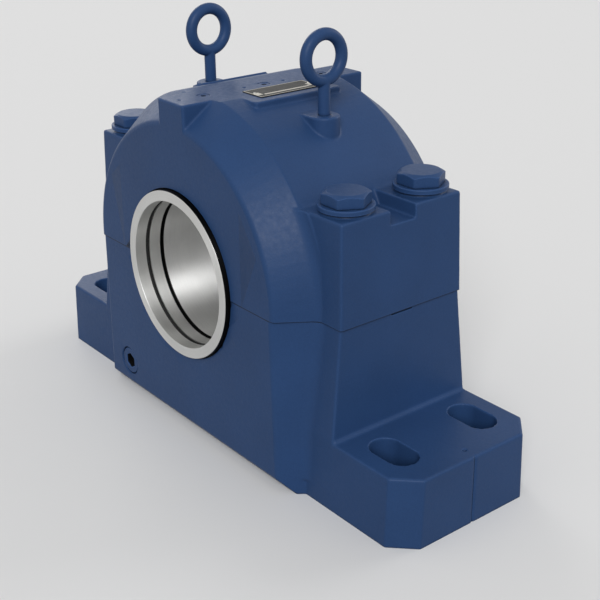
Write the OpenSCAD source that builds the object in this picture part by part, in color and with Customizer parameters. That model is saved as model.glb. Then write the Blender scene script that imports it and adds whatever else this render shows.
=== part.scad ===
// Split plummer block for a heavy shaft: a base and a cap cast in grey iron, bolted
// together round a double-row spherical roller bearing on an adapter sleeve, with a
// labyrinth seal ring at each end. X runs along the base, Y along the shaft, Z up.
// The origin lies on the floor under the middle of the bearing. All sizes are in mm.

/* [Bearing] */
// Diameter of the shaft that the sleeve grips
shaft_d = 200; // [197:0.5:203]
// Small end of the bearing's tapered bore
bearing_bore = 220; // [217:0.5:222]
// Length of taper in which the bore grows by 1 mm in diameter
taper = 12; // [10:1:20]
// Outer diameter of the bearing
bearing_od = 370; // [366:1:373]
// Width of the bearing's rings
bearing_w = 120; // [114:1:124]
// Radius of the ball-shaped track inside the outer ring
track_r = 176; // [174:0.5:177]
// Rollers in each row
roller_count = 17; // [12:1:17]
// Largest diameter of a roller
roller_d = 44; // [41:0.5:44.5]
// Length of a roller
roller_l = 42; // [38:1:43]
// Chamfer at a roller's ends
roller_chamfer = 2; // [1:0.1:3]
// Lean of a roller's axis away from the shaft's axis
contact_angle = 10.5; // [9.5:0.25:12]
// Width of the grease groove round the outer ring
grease_groove_w = 14; // [10:1:18]
// Depth of the grease groove
grease_groove_depth = 3.5; // [2.5:0.25:4.5]
// Diameter of the three grease holes in the groove
grease_hole_d = 8; // [5:1:9]
// Thickness of a cage's wall
cage_wall = 9; // [6:0.5:10]
// Width of a cage's rim past the outer ends of the rollers
cage_outer_rim = 6; // [4:0.5:7]
// Width of a cage's rim past the inner ends of the rollers
cage_inner_rim = 4; // [3:0.25:4.5]
// Height of the loose ring between the two rows
guide_ring_h = 15; // [10:0.5:15.5]

/* [Fits] */
// Gap between pieces that roll or turn on each other
run_gap = 0.3; // [0.25:0.05:0.4]
// Gap between a roller and its window in the cage
window_gap = 0.4; // [0.3:0.05:0.6]
// Gap round a piece that is pressed, screwed or clamped in place
seat_gap = 0.05; // [0.03:0.01:0.1]
// Gap all round a fin in its labyrinth groove
labyrinth_gap = 0.95; // [0.85:0.05:0.98]

/* [Sleeve and nut] */
// Length of the sleeve that sticks out behind the bearing
sleeve_back = 4; // [2:1:8]
// Length of the sleeve's threaded end in front of the bearing
sleeve_front = 48.5; // [43:0.5:50]
// Chamfer in the bore of the sleeve's threaded end
sleeve_mouth = 3; // [1:0.5:5]
// Width of the slit along the sleeve
sleeve_slit = 5; // [4:0.5:7]
// Outer diameter of the lock nut
nut_d = 280; // [270:2:290]
// Thickness of the lock nut
nut_w = 28; // [24:1:29]
// Spanner slots round the nut
nut_slots = 8; // [4:2:8]
// Width of a spanner slot
nut_slot_w = 20; // [14:1:24]
// Depth of a spanner slot
nut_slot_depth = 10; // [6:0.5:11]
// Thickness of the clip that locks the nut to the sleeve
clip_t = 4; // [3:0.5:5]
// Width of the clip
clip_w = 26; // [22:1:30]
// Thread diameter of the clip's screw
clip_screw_d = 8; // [6:1:9]

/* [Seals] */
// Distance over the outer ends of the two seal rings
seal_span = 306.8; // [304:0.4:312]
// Length of a seal ring past its inner fin
seal_tail = 3.5; // [2:0.5:5]
// Diameter of a seal ring's body
seal_d = 229.2; // [228:0.2:231]
// Play between the seal ring's bore and the shaft, on radius
seal_play = 0.35; // [0.3:0.05:0.6]
// Diameter over the fins of a seal ring
fin_d = 262; // [254:1:266]
// Thickness of a fin
fin_w = 6; // [5:0.25:7]
// Distance from the housing's face to the middle of the outer fin
fin_inset = 11; // [10:0.5:12]
// Distance between the two fins, middle to middle
fin_pitch = 16; // [15:0.5:17]
// Distance from the seal ring's outer end to the middle of its rubber cord
cord_inset = 19.7; // [18:0.1:20.5]
// Diameter of the rubber cord
cord_d = 6; // [5:0.25:6.5]

/* [Housing] */
// Height of the shaft's axis above the floor
centre_h = 240; // [236:1:246]
// Width of the housing over its two end faces
housing_w = 294; // [290:1:298]
// Diameter of the cap's barrel
barrel_d = 472; // [468:1:478]
// Width of the barrel between its two sloping collars
barrel_w = 196; // [192:1:200]
// Diameter of the cap's end faces
face_d = 404; // [398:1:410]
// Rounding between an end face and its collar
face_round = 9; // [6:0.5:11]
// Rounding in the hollow between a collar and an ear
collar_fillet = 22; // [14:1:26]
// Rounding in the hollow between the barrel and the top of an ear
barrel_fillet = 8; // [4:0.5:9]
// Edge roundings of the castings
cast_round = 3; // [2:0.5:5]
// Diameter of the hole for the seal ring's body
seal_hole_d = 233.6; // [233.2:0.2:236]
// Width of the ring that centres the bearing, on each side of it
locating_w = 10; // [6:0.5:12]
// Bore of a locating ring and of the shoulder behind it
shoulder_d = 344; // [340:1:348]
// Thickness of the shoulder
shoulder_w = 10; // [8:0.5:12]
// Diameter of the grease rooms beside the bearing
room_d = 396; // [386:1:400]
// Thickness of the housing's end walls
end_wall = 41; // [40:0.5:42]
// Gap in a locating ring
locating_slit = 8; // [4:1:12]

/* [Cap] */
// Length of the cap over its ears, at the joint with the base
ear_len = 548.6; // [544:0.2:552]
// Width of an ear at the joint
ear_w = 200; // [196:1:204]
// Height of an ear
ear_h = 131.8; // [126:0.2:138]
// Inward slope of the ears' sides over their height
ear_draft = 3.5; // [1:0.5:5]
// Width of the slot between an ear's bolts
ear_slot_w = 40.8; // [36:0.2:46]
// Depth of the slot between an ear's bolts
ear_slot_depth = 18; // [12:0.5:22]
// Height of the flat top above the shaft's axis
top_h = 232; // [229:0.5:233]
// Width of the lugs that carry the flat top out to the end faces
lug_w = 58; // [50:1:64]
// Distance from the middle to the outer side of the nameplate's ledge
ledge_out = 76; // [72:1:84]
// Length of the nameplate's ledge
ledge_l = 138; // [124:1:146]
// Distance from the middle to the casting pad opposite the nameplate
pad_out = 76; // [70:1:80]
// Length of the casting pad
pad_l = 116; // [96:1:120]
// Width of the casting pad
pad_w = 14.5; // [10:0.5:20]
// Height of the casting pad
pad_h = 3; // [2:0.5:4]

/* [Base] */
// Length of the base over its feet
base_len = 811; // [800:1:822]
// Width of a foot at the floor
foot_w = 235.4; // [228:0.2:240]
// Height of a foot
foot_h = 93.8; // [88:0.2:100]
// Inward slope of a foot's long sides over its height
foot_draft = 3.7; // [1:0.1:6]
// Cut-off corners of the feet
foot_corner = 30; // [20:1:40]
// Length over the base's end walls at the top of the feet
wall_len_low = 551.4; // [546:0.2:556]
// Length over the base's end walls at the joint with the cap
wall_len_top = 544.2; // [540:0.2:546]
// Width of the base's end walls at the joint
wall_w_top = 197; // [192:1:200]
// Rounding where an end wall stands on its foot
wall_fillet = 6; // [4:0.5:10]
// Width of the base's end face at the joint
front_w_top = 396; // [390:1:402]
// Width of the base's end face at its bottom
front_w_low = 408; // [403:1:414]
// Height at which the end face stops above the floor
front_low = 22; // [12:1:26]
// Slope of the underside inwards from the end face
front_undercut = 20; // [12:1:24]
// Width of the sump beside the bearing
sump_w = 356; // [330:2:370]
// Thickness of the floor under the sump
sump_floor = 36; // [30:1:37]
// Rounding of the sump's corners
sump_round = 24; // [12:1:30]
// Width of the lever notch at the joint
notch_w = 34.8; // [28:0.2:40]
// Height of the lever notch
notch_h = 3; // [2:0.5:5]
// Depth of the lever notch
notch_depth = 7; // [4:0.5:9]
// Width of the centre mark cut in the ends of the base
mark_w = 3; // [2:0.5:4]

/* [Fasteners] */
// Distance from a foot's end to the middle of its holding-down slots
slot_in = 70.5; // [66:0.5:74]
// Distance between the holding-down slots across the base
slot_y = 135; // [130:1:139]
// Width of a holding-down slot
slot_w = 42; // [38:1:46]
// Length of a holding-down slot, end to end
slot_l = 70; // [60:1:76]
// Distance from a foot's end to its centre dimple
dimple_in = 18.5; // [12:0.5:24]
// Diameter of the ball drill that makes the dimples
dimple_d = 6; // [4:0.5:7]
// Distance from the housing's end faces to the outer dimples of the flat top
dimple_top_in = 15; // [10:1:24]
// Distance from the middle to the inner dimples of the flat top
dimple_top_y = 32; // [24:1:60]
// Thread diameter of the cap bolts
bolt_d = 36; // [30:1:38]
// Distance from an ear's end, at the joint, to the middle of its bolts
bolt_in = 37.3; // [35:0.1:39]
// Distance between the cap bolts across the base
bolt_y = 120.6; // [116:0.2:124]
// Width across flats of a cap bolt's head
bolt_flats = 54; // [50:0.5:58]
// Height of a cap bolt's head
bolt_head_h = 16; // [12:0.5:25]
// Length of a cap bolt's thread in the base
bolt_grip = 64; // [50:1:80]
// Diameter of the machined seat under a washer
bolt_seat_d = 60; // [54:0.5:60]
// Height of the machined seat above the ear
bolt_seat_h = 4.5; // [2:0.5:6]
// Play of a cap bolt in the cap, on diameter
bolt_play = 3; // [1:0.5:4]
// Play of a washer on its bolt, on diameter
washer_play = 1; // [0.5:0.1:2]
// Room left past the end of a bolt, pin, plug or tongue in its hole
hole_room = 3; // [2:0.5:6]
// Outer diameter of a washer
washer_d = 69.5; // [64:0.5:70]
// Thickness of a washer
washer_t = 6; // [4:0.5:8]
// Diameter of a dowel pin
dowel_d = 16; // [12:1:20]
// Length of a dowel pin
dowel_l = 44; // [36:1:60]
// Distance between the dowel pins
dowel_x = 460; // [452:1:470]
// Distance between the eye bolts
eye_x = 248; // [240:1:256]
// Height of an eye's centre above the shaft's axis
eye_h = 286; // [282:1:290]
// Outer diameter of an eye
eye_d = 72; // [68:1:76]
// Thickness of the bar in an eye
eye_bar = 15.5; // [13:0.5:17]
// Length of an eye bolt's thread
eye_thread = 32; // [24:1:40]
// Height of the eye bolts' bosses above the shaft's axis
boss_h = 215; // [213:0.5:218]
// Width of an eye bolt's boss
boss_w = 40; // [34:1:44]
// Diameter of a grease plug
plug_d = 17; // [14:0.5:19]
// Length of a grease plug
plug_l = 13; // [10:0.5:16]
// Width across the flats of a grease plug's socket
plug_socket = 7; // [5:0.5:8]
// Distance from the middle to the outer grease plugs
plug_y = 96; // [93:0.5:100]
// Diameter of a grease channel
channel_d = 9; // [6:1:11]
// Distance of the drain plug from the middle
drain_x = 152.5; // [140:0.5:155]
// Height of the drain plug above the floor
drain_h = 54; // [53:0.5:58]
// Diameter of the drain plug
drain_d = 42; // [36:1:44]
// Length of the drain plug
drain_l = 26; // [20:1:32]
// Width across the flats of the drain plug's socket
drain_socket = 20; // [16:1:24]
// Diameter of the channel behind the drain plug
drain_channel = 16; // [10:1:20]
// Width and depth of the chamfer round the drain plug
drain_mouth = 3; // [1:0.5:4]
// Distance by which the drain plug stays behind the end face
drain_recess = 1.2; // [0.4:0.2:2]
// Distance by which the grease plugs stay under the flat top
plug_recess = 0.4; // [0.2:0.1:1]
// Width of the nameplate, across the shaft
plate_w = 42; // [36:1:48]
// Length of the nameplate, along the shaft
plate_l = 98; // [84:1:104]
// Thickness of the nameplate
plate_t = 1.2; // [0.8:0.1:2]
// Distance from the middle to the nameplate's middle
plate_x = 39.5; // [36:0.5:44]
// Head diameter of the nameplate's rivets
rivet_d = 5; // [4:0.5:6]
// Depth of the rivets in the cap
rivet_grip = 4; // [2:0.5:5]

/* [Hidden] */
$fn = 96;
// Steps in a small rounding, overshoot of a cut, and thickness of a hull's outlines
round_steps = 5;
over = 1;
skin = 0.01;

// Bearing, measured from its own middle
roller_out = track_r - run_gap - roller_d / 2;
roller_y = roller_out * sin(contact_angle);
roller_r = roller_out * cos(contact_angle);
barrel_arc = track_r - run_gap;
inner_track_arc = track_r;
inner_track_y = 2 * roller_out * sin(contact_angle);
inner_track_r = 2 * roller_out * cos(contact_angle);
roller_end_r = sqrt(pow(barrel_arc, 2) - pow(roller_l / 2, 2)) - roller_out;
land_y = roller_d / 12;
land_r = inner_track_r - sqrt(pow(inner_track_arc, 2) - pow(inner_track_y - land_y, 2));
seat_r = bearing_od / 2;
bearing_face = bearing_w / 2;
bore_small_r = bearing_bore / 2;
bore_big_r = bore_small_r + bearing_w / taper / 2;
guide_in = land_r + run_gap;
guide_out = land_r + guide_ring_h;

// Sleeve, nut and clip
sleeve_r = shaft_d / 2;
sleeve_out = bore_small_r - seat_gap;
sleeve_end = bearing_face + sleeve_front;
sleeve_tail = bearing_face + sleeve_back;
nut_face = bearing_face + nut_w;
nut_bore_r = sleeve_out + seat_gap;
nut_root = nut_d / 2 - nut_slot_depth;
screw_r = (nut_bore_r + nut_root) / 2;
screw_flats = 1.6 * clip_screw_d;
screw_head_h = 0.6 * clip_screw_d;
screw_l = nut_w / 2;
edge_chamfer = 1.5;

// Seals
seal_end = seal_span / 2;
seal_inner_r = sleeve_r + seal_play;
cord_r = sleeve_r + seal_play / 2 + cord_d / 2;
cord_groove_r = cord_r + cord_d / 2 + seat_gap;
cord_y = seal_end - cord_inset;
end_face = housing_w / 2;
fin_y = [end_face - fin_inset, end_face - fin_inset - fin_pitch];

// Housing
barrel_r = barrel_d / 2;
shoulder_y = bearing_face + locating_w;
room_start = shoulder_y + shoulder_w;
room_end = end_face - end_wall;
joint_h = centre_h;
top_z = centre_h + top_h;
ear_top = joint_h + ear_h;
slot_floor = ear_top - ear_slot_depth;
boss_z = centre_h + boss_h;
collar_y = barrel_w / 2;

// Sides of the base's middle block and of its end walls, seen from above
side_run = barrel_r - front_w_top / 2;
side_out = wall_w_top / 2;
wall_w_low = foot_w - 2 * foot_draft;
foot_rise = wall_w_low / 2 - side_out;

// Fasteners
slot_x = base_len - 2 * slot_in;
bolt_x = ear_len - 2 * bolt_in;
hex_flat_top = 0.9;
eye_z = centre_h + eye_h;
eye_mid_r = (eye_d - eye_bar) / 2;
bolt_tip = joint_h - bolt_grip;
seat_z = ear_top + bolt_seat_h;
bolt_head_z = seat_z + washer_t;
plug_z = top_z - plug_recess;
plate_rivet_y = plate_l / 2 - rivet_d;
drain_face = end_face - drain_recess;

function unit2(v) = v / norm(v);

// Points of the arc of radius r that is tangent to the lines from p to a and from p to b
function corner_arc(a, p, b, r) =
    let (
        u = unit2(a - p),
        w = unit2(b - p),
        half = acos(u * w) / 2,
        mid = p + unit2(u + w) * r / sin(half),
        first = p + u * r / tan(half) - mid,
        turn = cross(p - a, b - p) > 0 ? 1 : -1,
        start = atan2(first[1], first[0]),
        sweep = turn * (180 - 2 * half)
    )
    [for (i = [0:round_steps])
        mid + r * [cos(start + sweep * i / round_steps), sin(start + sweep * i / round_steps)]];

// Outline through corners [x, y, rounding]
function rounded(c) =
    let (n = len(c), p = [for (q = c) [q[0], q[1]]])
    [for (i = [0:n - 1])
        each c[i][2] > 0 ? corner_arc(p[(i + n - 1) % n], p[i], p[(i + 1) % n], c[i][2]) : [p[i]]];

// Section of the hollow fillet at the corner p, with its back sunk into the solid
function fillet_section(a, p, b, r, sunk) =
    concat([p - unit2(unit2(a - p) + unit2(b - p)) * sunk], corner_arc(a, p, b, r));

// Rectangle about the middle of the XY plane, from its full length and width
function plate_outline(length, width, r) =
    rounded([[length / 2, width / 2, r], [-length / 2, width / 2, r],
             [-length / 2, -width / 2, r], [length / 2, -width / 2, r]]);

// Solid with an XZ outline, along Y
module along_y(outline, from, to) {
    translate([0, to, 0])
        rotate([90, 0, 0])
            linear_extrude(to - from)
                polygon(outline);
}

// Solid with a YZ outline, along X
module along_x(outline, from, to) {
    translate([from, 0, 0])
        rotate([90, 0, 90])
            linear_extrude(to - from)
                polygon(outline);
}

// Solid turned round the shaft's axis, from an outline of radius and place along Y
module turned() {
    translate([0, 0, centre_h])
        rotate([-90, 0, 0])
            rotate_extrude()
                children();
}

// Cylinder on the shaft's axis between two places along Y
module shaft_cylinder(r, from, to) {
    translate([0, from, centre_h])
        rotate([-90, 0, 0])
            cylinder(r = r, h = to - from);
}

// The same thing at both ends of the shaft's axis
module both_ends() {
    children();
    mirror([0, 1, 0])
        children();
}

// The same thing at both ends of the base
module both_sides() {
    children();
    mirror([1, 0, 0])
        children();
}

module at_four(x, y) {
    for (i = [-1, 1], j = [-1, 1])
        translate([i * x / 2, j * y / 2, 0])
            children();
}

// Half space above or below the joint, as a block larger than the housing
module above(z) {
    translate([-base_len, -housing_w, z])
        cube([2 * base_len, 2 * housing_w, 2 * centre_h]);
}

// The hollow that the base and the cap close round the bearing
module bearing_room() {
    shaft_cylinder(seal_hole_d / 2, -end_face - over, end_face + over);
    shaft_cylinder(shoulder_d / 2, -room_start - over, room_start + over);
    shaft_cylinder(seat_r, -shoulder_y, shoulder_y);
    both_ends() {
        shaft_cylinder(room_d / 2, room_start, room_end);
        for (y = fin_y)
            shaft_cylinder(fin_d / 2 + labyrinth_gap, y - fin_w / 2 - labyrinth_gap,
                           y + fin_w / 2 + labyrinth_gap);
    }
}

// Block with drafted sides and a rounded upper edge, under one skin. The outline that it
// is given reads $inset, its distance inwards, and $rise, which is 0 below and 1 above.
module cast_block(from, to, r) {
    hull() {
        translate([0, 0, from])
            linear_extrude(skin)
                let ($inset = 0, $rise = 0)
                    children();
        for (i = [0:round_steps])
            translate([0, 0, to - r * (1 - sin(90 * i / round_steps)) - skin])
                linear_extrude(skin)
                    let ($inset = r * (1 - cos(90 * i / round_steps)), $rise = 1)
                        children();
    }
}

// Outline of the two feet from above, with their corners cut off
function foot_plan(inset, draft, r) =
    let (
        x = base_len / 2 - inset,
        y = foot_w / 2 - draft - inset,
        cut = foot_corner - (2 - sqrt(2)) * inset
    )
    rounded([
        [x, y - cut, r], [x - cut, y, r], [cut - x, y, r], [-x, y - cut, r],
        [-x, cut - y, r], [cut - x, -y, r], [x - cut, -y, r], [x, cut - y, r]]);

module feet() {
    cast_block(0, foot_h, cast_round)
        polygon(foot_plan($inset, $rise * foot_draft, cast_round - $inset));
}

// End walls, which run down into the feet and carry the ears of the cap
module end_walls() {
    hull()
        for (p = [[0, wall_len_low, foot_w], [foot_h, wall_len_low, wall_w_low],
                  [joint_h - skin, wall_len_top, wall_w_top]])
            translate([0, 0, p[0]])
                linear_extrude(skin)
                    polygon(plate_outline(p[1], p[2], cast_round));
    both_sides()
        along_y(fillet_section([base_len / 2, foot_h], [wall_len_low / 2, foot_h],
                               [wall_len_top / 2, joint_h], wall_fillet, cast_round),
                cast_round - wall_w_low / 2, wall_w_low / 2 - cast_round);
}

// Outline of the base's middle block from above, for a given width of its end face
function block_plan(front_w) =
    let (wide = front_w / 2 + side_run)
    rounded([
        [wide, -side_out, 0], [wide, side_out, 0],
        [front_w / 2, end_face, face_round], [-front_w / 2, end_face, face_round],
        [-wide, side_out, 0], [-wide, -side_out, 0],
        [-front_w / 2, -end_face, face_round], [front_w / 2, -end_face, face_round]]);

module middle_block() {
    low_w = front_w_low + (front_w_low - front_w_top) * front_low / (joint_h - front_low);
    intersection() {
        hull() {
            linear_extrude(skin)
                polygon(block_plan(low_w));
            translate([0, 0, joint_h - skin])
                linear_extrude(skin)
                    polygon(block_plan(front_w_top));
        }
        along_x(rounded([
            [end_face - front_undercut, 0, 0], [end_face, front_low, 2 * cast_round],
            [end_face, joint_h, 0], [-end_face, joint_h, 0],
            [-end_face, front_low, 2 * cast_round], [front_undercut - end_face, 0, 0]]),
            -base_len / 2, base_len / 2);
    }
}

// Corner between the middle block and an end wall, at a height: both sides of it slope
function corner_at(z) =
    let (
        wall_w = z > foot_h
            ? side_out + foot_rise * (joint_h - z) / (joint_h - foot_h)
            : side_out + foot_rise + foot_draft * (foot_h - z) / foot_h,
        block_w = front_w_top / 2 + (front_w_low - front_w_top) / 2
            * (joint_h - z) / (joint_h - front_low)
    )
    [block_w + side_run * (end_face - wall_w) / (end_face - side_out), -wall_w, z];

// Hollow fillet up that corner, from one height to another
module corner_fillet(from, to) {
    foot = corner_at(from);
    way = corner_at(to) - foot;
    turn = atan2(way[1], way[0]);
    section = fillet_section([collar_fillet, 0], [0, 0], [-side_run, side_out - end_face],
                             collar_fillet, cast_round);
    intersection() {
        translate(foot - way / norm(way) * cast_round)
            rotate([0, acos(way[2] / norm(way)), turn])
                rotate([0, 0, -turn])
                    linear_extrude(norm(way) + 2 * cast_round)
                        polygon(section);
        translate([0, -housing_w, from])
            cube([base_len, housing_w, to - from]);
    }
}

module base() {
    color("midnightblue")
    difference() {
        union() {
            feet();
            end_walls();
            middle_block();
            both_sides()
                both_ends() {
                    corner_fillet(front_low, foot_h);
                    corner_fillet(foot_h, joint_h);
                }
        }
        bearing_room();
        // Sump under each grease room
        both_ends()
            along_y(rounded([
                [sump_w / 2, sump_floor, sump_round], [sump_w / 2, joint_h + over, 0],
                [-sump_w / 2, joint_h + over, 0], [-sump_w / 2, sump_floor, sump_round]]),
                room_start, room_end);
        // Drain hole, with its chamfered mouth
        translate([-drain_x, -end_face - over, drain_h])
            rotate([-90, 0, 0]) {
                cylinder(d = drain_d + 2 * seat_gap, h = over + drain_l + hole_room);
                cylinder(d = drain_channel, h = end_wall + 2 * over);
                cylinder(d1 = drain_d + 2 * (drain_mouth + over), d2 = drain_d,
                         h = drain_mouth + over);
            }
        // Tapped holes for the cap bolts and reamed holes for the dowels
        at_four(bolt_x, bolt_y)
            translate([0, 0, bolt_tip - hole_room])
                cylinder(d = bolt_d + 2 * seat_gap, h = joint_h);
        for (i = [-1, 1])
            translate([i * dowel_x / 2, 0, joint_h - dowel_l / 2 - hole_room])
                cylinder(d = dowel_d + 2 * seat_gap, h = joint_h);
        // Holding-down slots
        at_four(slot_x, slot_y)
            translate([0, 0, -over])
                linear_extrude(foot_h + 2 * over)
                    union() {
                        for (i = [-1, 1])
                            translate([i * (slot_l - slot_w) / 2, 0])
                                circle(d = slot_w);
                        square([slot_l - slot_w, slot_w], center = true);
                    }
        for (i = [-1, 1]) {
            // Centre dimple, centre mark and lever notch of each end
            translate([i * (base_len / 2 - dimple_in), 0, foot_h])
                sphere(d = dimple_d);
            translate([i * base_len / 2, 0, -over])
                rotate([0, 0, 45])
                    translate([-mark_w / 2, -mark_w / 2, 0])
                        cube([mark_w, mark_w, foot_h + 2 * over]);
            translate([i * wall_len_top / 2 - notch_depth, -notch_w / 2, joint_h - notch_h])
                cube([2 * notch_depth, notch_w, 2 * notch_h]);
        }
    }
}

// Cap: barrel with its sloping collars
module barrel() {
    intersection() {
        turned()
            polygon(rounded([
                [0, -end_face, 0], [face_d / 2, -end_face, face_round],
                [barrel_r, -collar_y, 0], [barrel_r, collar_y, 0],
                [face_d / 2, end_face, face_round], [0, end_face, 0]]));
        above(joint_h);
    }
}

function ear_outline() =
    rounded([
        [ear_len / 2, joint_h, 0], [ear_len / 2 - ear_draft, ear_top, cast_round],
        [ear_draft - ear_len / 2, ear_top, cast_round], [-ear_len / 2, joint_h, 0]]);

// Section of the hollow fillet that touches the barrel and the top of an ear, seen from the
// shaft's axis, with its back sunk into both
function barrel_fillet_section() =
    let (
        high = ear_h + barrel_fillet,
        mid = [sqrt(pow(barrel_r + barrel_fillet, 2) - high * high), high],
        start = 180 + atan2(mid[1], mid[0]),
        low = ear_h - barrel_fillet / 2
    )
    concat(
        [for (i = [0:round_steps])
            let (a = start + (270 - start) * i / round_steps)
            mid + barrel_fillet * [cos(a), sin(a)]],
        [[mid[0], low], [mid[0] - 2 * barrel_fillet, low]]);

module ears() {
    fillet_y = ear_w / 2 - ear_draft - cast_round;
    difference() {
        union() {
            cast_block(joint_h, ear_top, cast_round)
                polygon(plate_outline(ear_len - 2 * ($inset + $rise * ear_draft),
                                      ear_w - 2 * ($inset + $rise * ear_draft),
                                      cast_round - $inset));
            translate([0, 0, centre_h])
                both_sides()
                    along_y(barrel_fillet_section(), -fillet_y, fillet_y);
        }
        for (i = [-1, 1])
            translate([i * ear_len / 2, 0, slot_floor])
                linear_extrude(ear_h)
                    square([ear_len / 2, ear_slot_w], center = true);
    }
    // Hollow fillet between the collars and the ears
    intersection() {
        turned()
            union() {
                polygon(fillet_section([face_d / 2, -end_face], [barrel_r, -collar_y],
                                       [ear_len, -collar_y], collar_fillet, cast_round));
                polygon(fillet_section([face_d / 2, end_face], [barrel_r, collar_y],
                                       [ear_len, collar_y], collar_fillet, cast_round));
            }
        along_y(ear_outline(), -end_face, end_face);
    }
}

module top_lug() {
    low = centre_h + shoulder_d / 2 + 2 * shoulder_w;
    intersection() {
        along_y(rounded([
            [lug_w / 2, low, 0], [lug_w / 2, top_z, cast_round / 2],
            [-lug_w / 2, top_z, cast_round / 2], [-lug_w / 2, low, 0]]),
            -end_face, end_face);
        along_x(rounded([
            [end_face, low, 0], [end_face, top_z, cast_round],
            [-end_face, top_z, cast_round], [-end_face, low, 0]]),
            -lug_w, lug_w);
        linear_extrude(2 * top_z)
            polygon(plate_outline(lug_w, housing_w, cast_round));
    }
}

// Ledge for the nameplate, level with the flat top
module plate_ledge() {
    low = centre_h + room_d / 2 + shoulder_w;
    intersection() {
        along_y(rounded([
            [ledge_out, low, 0], [ledge_out, top_z, cast_round / 2], [0, top_z, 0], [0, low, 0]]),
            -ledge_l, ledge_l);
        along_x(rounded([
            [ledge_l / 2, low, 0], [ledge_l / 2, top_z, cast_round / 2],
            [-ledge_l / 2, top_z, cast_round / 2], [-ledge_l / 2, low, 0]]),
            -over, ledge_out + over);
        linear_extrude(2 * top_z)
            polygon(rounded([
                [-over, -ledge_l / 2, 0], [ledge_out, -ledge_l / 2, 1.5 * cast_round],
                [ledge_out, ledge_l / 2, 1.5 * cast_round], [-over, ledge_l / 2, 0]]));
    }
}

// Low bare pad on the barrel, opposite the nameplate
module casting_pad() {
    turn = asin(pad_out / barrel_r);
    translate([0, 0, centre_h])
        rotate([0, -turn, 0])
            translate([0, 0, barrel_r - 2 * pad_h])
                linear_extrude(3 * pad_h)
                    polygon(plate_outline(pad_w, pad_l, cast_round));
}

// Boss for an eye bolt: round outwards, and straight where it runs into the barrel
module eye_boss() {
    low = centre_h + room_d / 2 - 2 * shoulder_w;
    half = boss_w / 2;
    edge = 0.75 * cast_round;
    translate([eye_x / 2, 0, 0]) {
        rotate_extrude()
            polygon(rounded([[0, low, 0], [half, low, 0], [half, boss_z, edge], [0, boss_z, 0]]));
        along_x(rounded([[half, low, 0], [half, boss_z, edge], [-half, boss_z, edge],
                         [-half, low, 0]]),
                -boss_w, 0);
    }
}

module cap() {
    color("midnightblue")
    difference() {
        union() {
            difference() {
                barrel();
                above(top_z);
            }
            ears();
            top_lug();
            plate_ledge();
            casting_pad();
            both_sides()
                eye_boss();
            // Machined seats for the bolts' washers
            at_four(bolt_x, bolt_y)
                translate([0, 0, ear_top - over])
                    cylinder(d = bolt_seat_d, h = over + bolt_seat_h);
        }
        bearing_room();
        // Bolt holes, with room for the washers beside the barrel
        at_four(bolt_x, bolt_y) {
            translate([0, 0, joint_h - over])
                cylinder(d = bolt_d + bolt_play, h = seat_z - joint_h + 2 * over);
            translate([0, 0, seat_z])
                cylinder(d = washer_d + washer_play, h = bolt_head_h + 2 * washer_t);
        }
        for (i = [-1, 1]) {
            translate([i * dowel_x / 2, 0, joint_h - over])
                cylinder(d = dowel_d + 2 * seat_gap, h = over + dowel_l / 2 + hole_room);
            translate([i * eye_x / 2, 0, boss_z - eye_thread - hole_room])
                cylinder(d = eye_bar + 2 * seat_gap, h = eye_thread + hole_room + over);
        }
        // Grease channels under their plugs, and the dimples of the flat top
        for (y = [-plug_y, 0, plug_y])
            translate([0, y, 0]) {
                translate([0, 0, centre_h + seat_r - over])
                    cylinder(d = channel_d, h = top_h);
                translate([0, 0, plug_z - plug_l])
                    cylinder(d = plug_d + 2 * seat_gap, h = 2 * plug_l);
            }
        both_ends()
            for (y = [dimple_top_y, end_face - dimple_top_in])
                translate([0, y, top_z])
                    sphere(d = dimple_d - over);
        for (j = [-1, 1])
            translate([plate_x, j * plate_rivet_y, top_z - rivet_grip - over])
                cylinder(d = rivet_d / 2 + 2 * seat_gap, h = rivet_grip + 2 * over);
    }
}

// Hexagon bolt head with its chamfered top, standing on the XY plane
module hex_head(flats, h) {
    corner = flats / sqrt(3);
    top_r = hex_flat_top * flats / 2;
    intersection() {
        cylinder(r = corner, h = h, $fn = 6);
        rotate_extrude()
            polygon([[0, 0], [corner, 0], [corner, h - (corner - top_r) * tan(30)],
                     [top_r, h], [0, h]]);
    }
}

module cap_bolts() {
    color("midnightblue")
    at_four(bolt_x, bolt_y) {
        translate([0, 0, bolt_head_z])
            hex_head(bolt_flats, bolt_head_h);
        translate([0, 0, bolt_tip])
            cylinder(d = bolt_d, h = bolt_head_z - bolt_tip + over);
        translate([0, 0, bolt_tip - edge_chamfer])
            cylinder(d1 = bolt_d - 2 * edge_chamfer, d2 = bolt_d, h = edge_chamfer);
    }
}

module cap_washers() {
    bore_r = (bolt_d + washer_play) / 2;
    out = washer_d / 2;
    color("midnightblue")
    at_four(bolt_x, bolt_y)
        translate([0, 0, seat_z])
            rotate_extrude()
                polygon([
                    [bore_r, 0], [out, 0], [out, washer_t - edge_chamfer],
                    [out - edge_chamfer, washer_t], [bore_r, washer_t]]);
}

module dowel_pins() {
    color("silver")
    for (i = [-1, 1])
        translate([i * dowel_x / 2, 0, joint_h])
            rotate_extrude()
                polygon([
                    [0, -dowel_l / 2], [dowel_d / 2 - edge_chamfer, -dowel_l / 2],
                    [dowel_d / 2, edge_chamfer - dowel_l / 2],
                    [dowel_d / 2, dowel_l / 2 - edge_chamfer],
                    [dowel_d / 2 - edge_chamfer, dowel_l / 2], [0, dowel_l / 2]]);
}

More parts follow.
